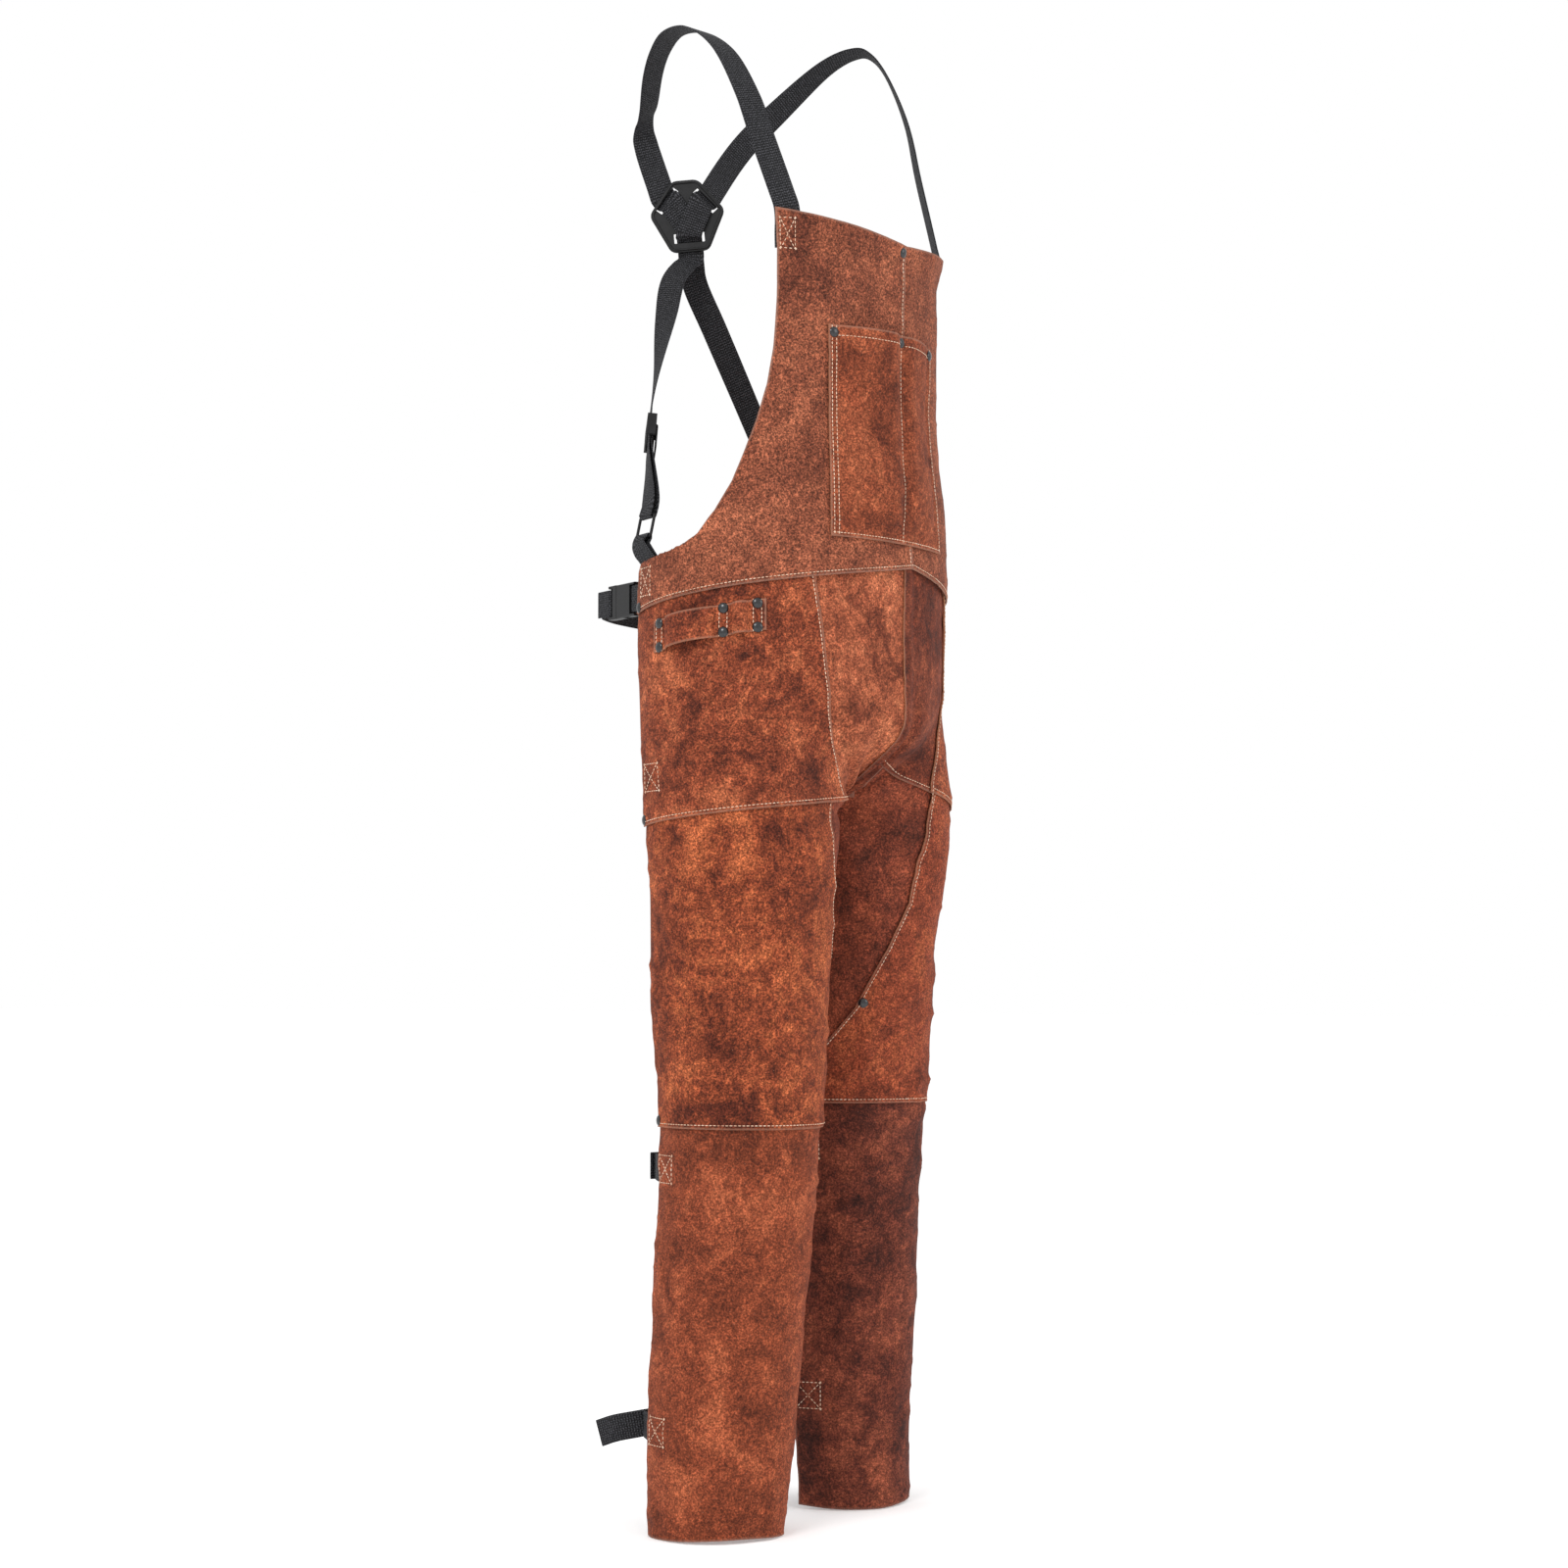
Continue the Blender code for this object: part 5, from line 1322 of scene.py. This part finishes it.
def add_waist_belt():
    angles = (101, 107, 113, 120, 127)
    right, left = ([under(TORSO, angle * -side, BELT_HEIGHT, BELT_DEPTH - BIB_LAYER * LAYER_STEP)
                    for angle in angles] for side in (RIGHT, LEFT))
    outward = Vector((-BELT_LINE.y, BELT_LINE.x, 0))
    frame_matrix = Matrix((BELT_LINE, outward, Vector((0, 0, 1)))).transposed().to_4x4()
    frame_matrix.translation = (right[-1][0] + BELT_LINE * (SOCKET_LENGTH + 0.008)
                                + outward * 0.0008)
    socket_bar, plug_bar = buckle_bars(frame_matrix)
    sewn_webbing("waist_belt_right", "waist_webbing_right", right, socket_bar, -BELT_LINE, -outward,
                 TAILS["short"], 14, 0.004)
    back = [(Vector(p) + Vector((0, 0, BELT_HEIGHT)), None) for p in reversed(BELT_BACK)]
    sewn_webbing("waist_belt_left", "waist_webbing_left", left + back, plug_bar, BELT_LINE, -outward,
                 TAILS["short"], 44, follows="waist_buckle_release")


def buckle_bars(frame_matrix):
    """The centres of a buckle's two webbing bars."""
    return (frame_matrix @ Vector((-SOCKET_LENGTH + BAR / 2, 0, 0)),
            frame_matrix @ Vector((BLOCK + SLOT + BAR / 2, 0, 0)))


def add_anchor_webbing(side):
    """Webbing sewn inside the side tab, looped through the ring's lower bar."""
    ring = ring_frame(side)
    outward, upright = axis(ring, 1), axis(ring, 2)
    bar = ring @ Vector((0, 0, -(RING_SIZE[1] - RING_BAR) / 2))
    angle = 113.5 * -side
    depth = ANCHOR_DEPTH - BIB_LAYER * LAYER_STEP
    foot = [under(TORSO, angle, z, depth) for z in (-0.538, -0.526, -0.515, -0.505)]
    inner = [under(TORSO, angle, z, depth + WEBBING + 0.0008) for z in (-0.505, -0.518)]
    turn = arc(bar, bar + outward * LOOP_RADIUS, upright)
    up = spline([p for p, _ in foot] + [turn[0] - upright * 0.010, turn[0]], 14)[:-1]
    down = spline([turn[-1], turn[-1] - upright * 0.010] + [p for p, _ in inner], 9)[1:]
    ring_across = axis(ring, 0)
    flat = like((TORSO(angle + 1, -0.52) - TORSO(angle - 1, -0.52)).normalized(), ring_across)
    widths = [flat] * 6 + blended(flat, ring_across, len(up) - 6) + [ring_across] * len(turn)
    widths += [lerp(ring_across, flat, smooth(k * 1.4 / len(down))) for k in range(1, len(down) + 1)]
    tag = side_name(side)
    piece = webbing_mesh("anchor_strap_" + tag, *finer(up + turn + down, widths))
    settle(piece, "apron", "webbing", "anchor_webbing_" + tag)


# Moulded fittings


def wire_loop(name, half_width, half_height, corner, radius, sides=8):
    """A rounded rectangle bent from round wire, in the XZ plane; the sizes are to its centre line."""
    bm = bmesh.new()
    rings = []
    for sx, sz, start in ((1, 1, 0), (-1, 1, 90), (-1, -1, 180), (1, -1, 270)):
        for turn in (0, 45, 90):
            angle = math.radians(start + turn)
            out = Vector((math.cos(angle), 0, math.sin(angle)))
            centre = Vector((sx * (half_width - corner), 0, sz * (half_height - corner))) + out * corner
            around = [2 * math.pi * (k + 0.5) / sides for k in range(sides)]
            rings.append([bm.verts.new(centre + out * radius * math.cos(t)
                                       + Vector((0, radius * math.sin(t), 0))) for t in around])
    for n, ring in enumerate(rings):
        other = rings[(n + 1) % len(rings)]
        for k in range(sides):
            after = (k + 1) % sides
            bm.faces.new((ring[k], ring[after], other[after], other[k]))
    bmesh.ops.recalc_face_normals(bm, faces=bm.faces)
    return mesh_from(bm, name)


def fitting(node, bevel):
    """A moulded part with its edges rounded."""
    source = frame["nodes"][node]
    bm = bmesh.new()
    bm.from_mesh(source.data)
    bmesh.ops.remove_doubles(bm, verts=bm.verts, dist=1e-6)
    bmesh.ops.dissolve_limit(bm, angle_limit=math.radians(1.0), verts=bm.verts, edges=bm.edges)
    mesh = mesh_from(bm, node + "_moulding")
    obj = add_piece(node + "_moulding", mesh, plastic)
    rounding = obj.modifiers.new("rounded_edges", "BEVEL")
    rounding.width = bevel
    rounding.segments = 3
    rounding.limit_method = "ANGLE"
    rounding.angle_limit = math.radians(32)
    rounding.harden_normals = False
    for polygon in mesh.polygons:
        polygon.use_smooth = True
    sharp = obj.modifiers.new("normals", "WEIGHTED_NORMAL")
    sharp.keep_sharp = True
    settle(obj, source["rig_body"], "plastic", node)


PLATE_UP = axis(PLATE_FRAME, 1)


def bead_mesh(name, points, radius):
    """A round bead along a closed loop of points on the plate."""
    bm = bmesh.new()
    rings = []
    count = len(points)
    for k, point in enumerate(points):
        along = (points[(k + 1) % count] - points[k - 1]).normalized()
        side = along.cross(PLATE_UP).normalized()
        rings.append([bm.verts.new(point + (side * math.cos(a) + PLATE_UP * math.sin(a)) * radius)
                      for a in (2 * math.pi * j / 10 for j in range(10))])
    for k in range(count):
        low, high = rings[k], rings[(k + 1) % count]
        for j in range(10):
            bm.faces.new((low[j], low[(j + 1) % 10], high[(j + 1) % 10], high[j]))
    bmesh.ops.recalc_face_normals(bm, faces=bm.faces)
    for face in bm.faces:
        face.smooth = True
    return mesh_from(bm, name)


def add_plate_rim():
    """A raised bead just inside the plate's outline."""
    outline = [Vector((x, z)) for x, z in PLATE_OUTLINE]
    middle = sum(outline, Vector((0, 0))) / len(outline)
    corners = [middle + (p - middle) * 0.93 for p in outline]
    points = []
    for k, corner in enumerate(corners):
        before, after = corners[k - 1], corners[(k + 1) % len(corners)]
        start = corner + (before - corner).normalized() * 0.004
        end = corner + (after - corner).normalized() * 0.004
        for s in (0, 0.33, 0.67, 1):
            points.append(start * (1 - s) ** 2 + corner * 2 * s * (1 - s) + end * s * s)
    rise = PLATE_THICKNESS / 2 + 0.0001
    mesh = bead_mesh("plate_rims", [on_plate(p.x, p.y, rise) for p in points], 0.0012)
    settle(add_piece("plate_rims", mesh, plastic), "apron", "plastic")


def add_fittings():
    for node in frame["nodes"]:
        if "buckle" in node or "adjuster" in node:
            fitting(node, 0.0007)
    fitting("back_plate", 0.0006)
    add_plate_rim()
    for side in (RIGHT, LEFT):
        half_w, half_h = (RING_SIZE[0] - RING_BAR) / 2, (RING_SIZE[1] - RING_BAR) / 2
        tag = side_name(side)
        mesh = wire_loop("ring_" + tag, half_w, half_h, 0.0022, RING_BAR / 2, 20)
        mesh.transform(ring_frame(side))
        for polygon in mesh.polygons:
            polygon.use_smooth = True
        ring = add_piece("ring_wire_" + tag, mesh, plastic)
        settle(ring, "ring_" + tag, "plastic", "strap_ring_" + tag)


# Studio


def add_floor():
    mesh = bpy.data.meshes.new("floor")
    corners = [(x * FLOOR_REACH, y * FLOOR_REACH, FLOOR_HEIGHT)
               for x, y in ((-1, -1), (1, -1), (1, 1), (-1, 1))]
    mesh.from_pydata(corners, [], [(0, 1, 2, 3)])
    material, nodes, shader = new_material("white_floor")
    nodes.feed(shader, {"Base Color": (0.94, 0.94, 0.94, 1), "Roughness": 1.0,
                        "Specular IOR Level": 0.0, "Emission Color": (1.0, 1.0, 1.0, 1),
                        "Emission Strength": 0.16})
    add_piece("floor", mesh, material)


def add_light(name, place, target, size, power):
    lamp = bpy.data.lights.new(name, "AREA")
    lamp.shape = "DISK"
    lamp.size = size
    lamp.energy = power
    obj = bpy.data.objects.new(name, lamp)
    obj.location = place
    obj.rotation_euler = (Vector(target) - Vector(place)).to_track_quat("-Z", "Y").to_euler()
    bpy.context.scene.collection.objects.link(obj)


def add_studio():
    add_floor()
    world = bpy.data.worlds.new("studio")
    world.use_nodes = True
    background = world.node_tree.nodes["Background"]
    background.inputs["Color"].default_value = (1.0, 1.0, 1.0, 1)
    background.inputs["Strength"].default_value = 1.0
    scene = bpy.context.scene
    scene.world = world
    scene.view_settings.view_transform = "Standard"
    add_light("key", (-3.4, -0.4, 1.6), (0, 0, -0.6), 1.6, 60)
    add_light("fill", (0.6, -3.6, 0.8), (0, 0, -0.7), 2.2, 26)
    lens = bpy.data.cameras.new("camera")
    lens.lens = CAMERA_LENS
    lens.sensor_width = 36
    camera = bpy.data.objects.new("camera", lens)
    camera.location = CAMERA_PLACE
    camera.rotation_euler = (math.radians(90 + CAMERA_PITCH), 0, math.radians(CAMERA_AZIMUTH))
    scene.collection.objects.link(camera)
    scene.camera = camera


leather = {name: suede("suede_" + name, *batch) for name, batch in BATCHES.items()}
edges = {"suede": cut_edge("cut_edge", (168, 108, 74)),
         "suede_bib": cut_edge("bib_edge", (166, 116, 92))}
thread = thread_material()
metal = rivet_material()
woven = webbing_material()
plastic = plastic_material()
lockstitch = stitch_tree()
add_studio()
for leg_side in (RIGHT, LEFT):
    add_leg_leather(leg_side)
    add_bib(leg_side)
add_fly_lap()
add_pocket()
add_tool_strip()
add_stitching()
add_rivets()
for strap_side in (RIGHT, LEFT):
    add_shoulder_webbing(strap_side)
    add_anchor_webbing(strap_side)
    for strap_level in LEG_STRAPS:
        add_leg_strap(strap_side, strap_level)
add_waist_belt()
add_fittings()
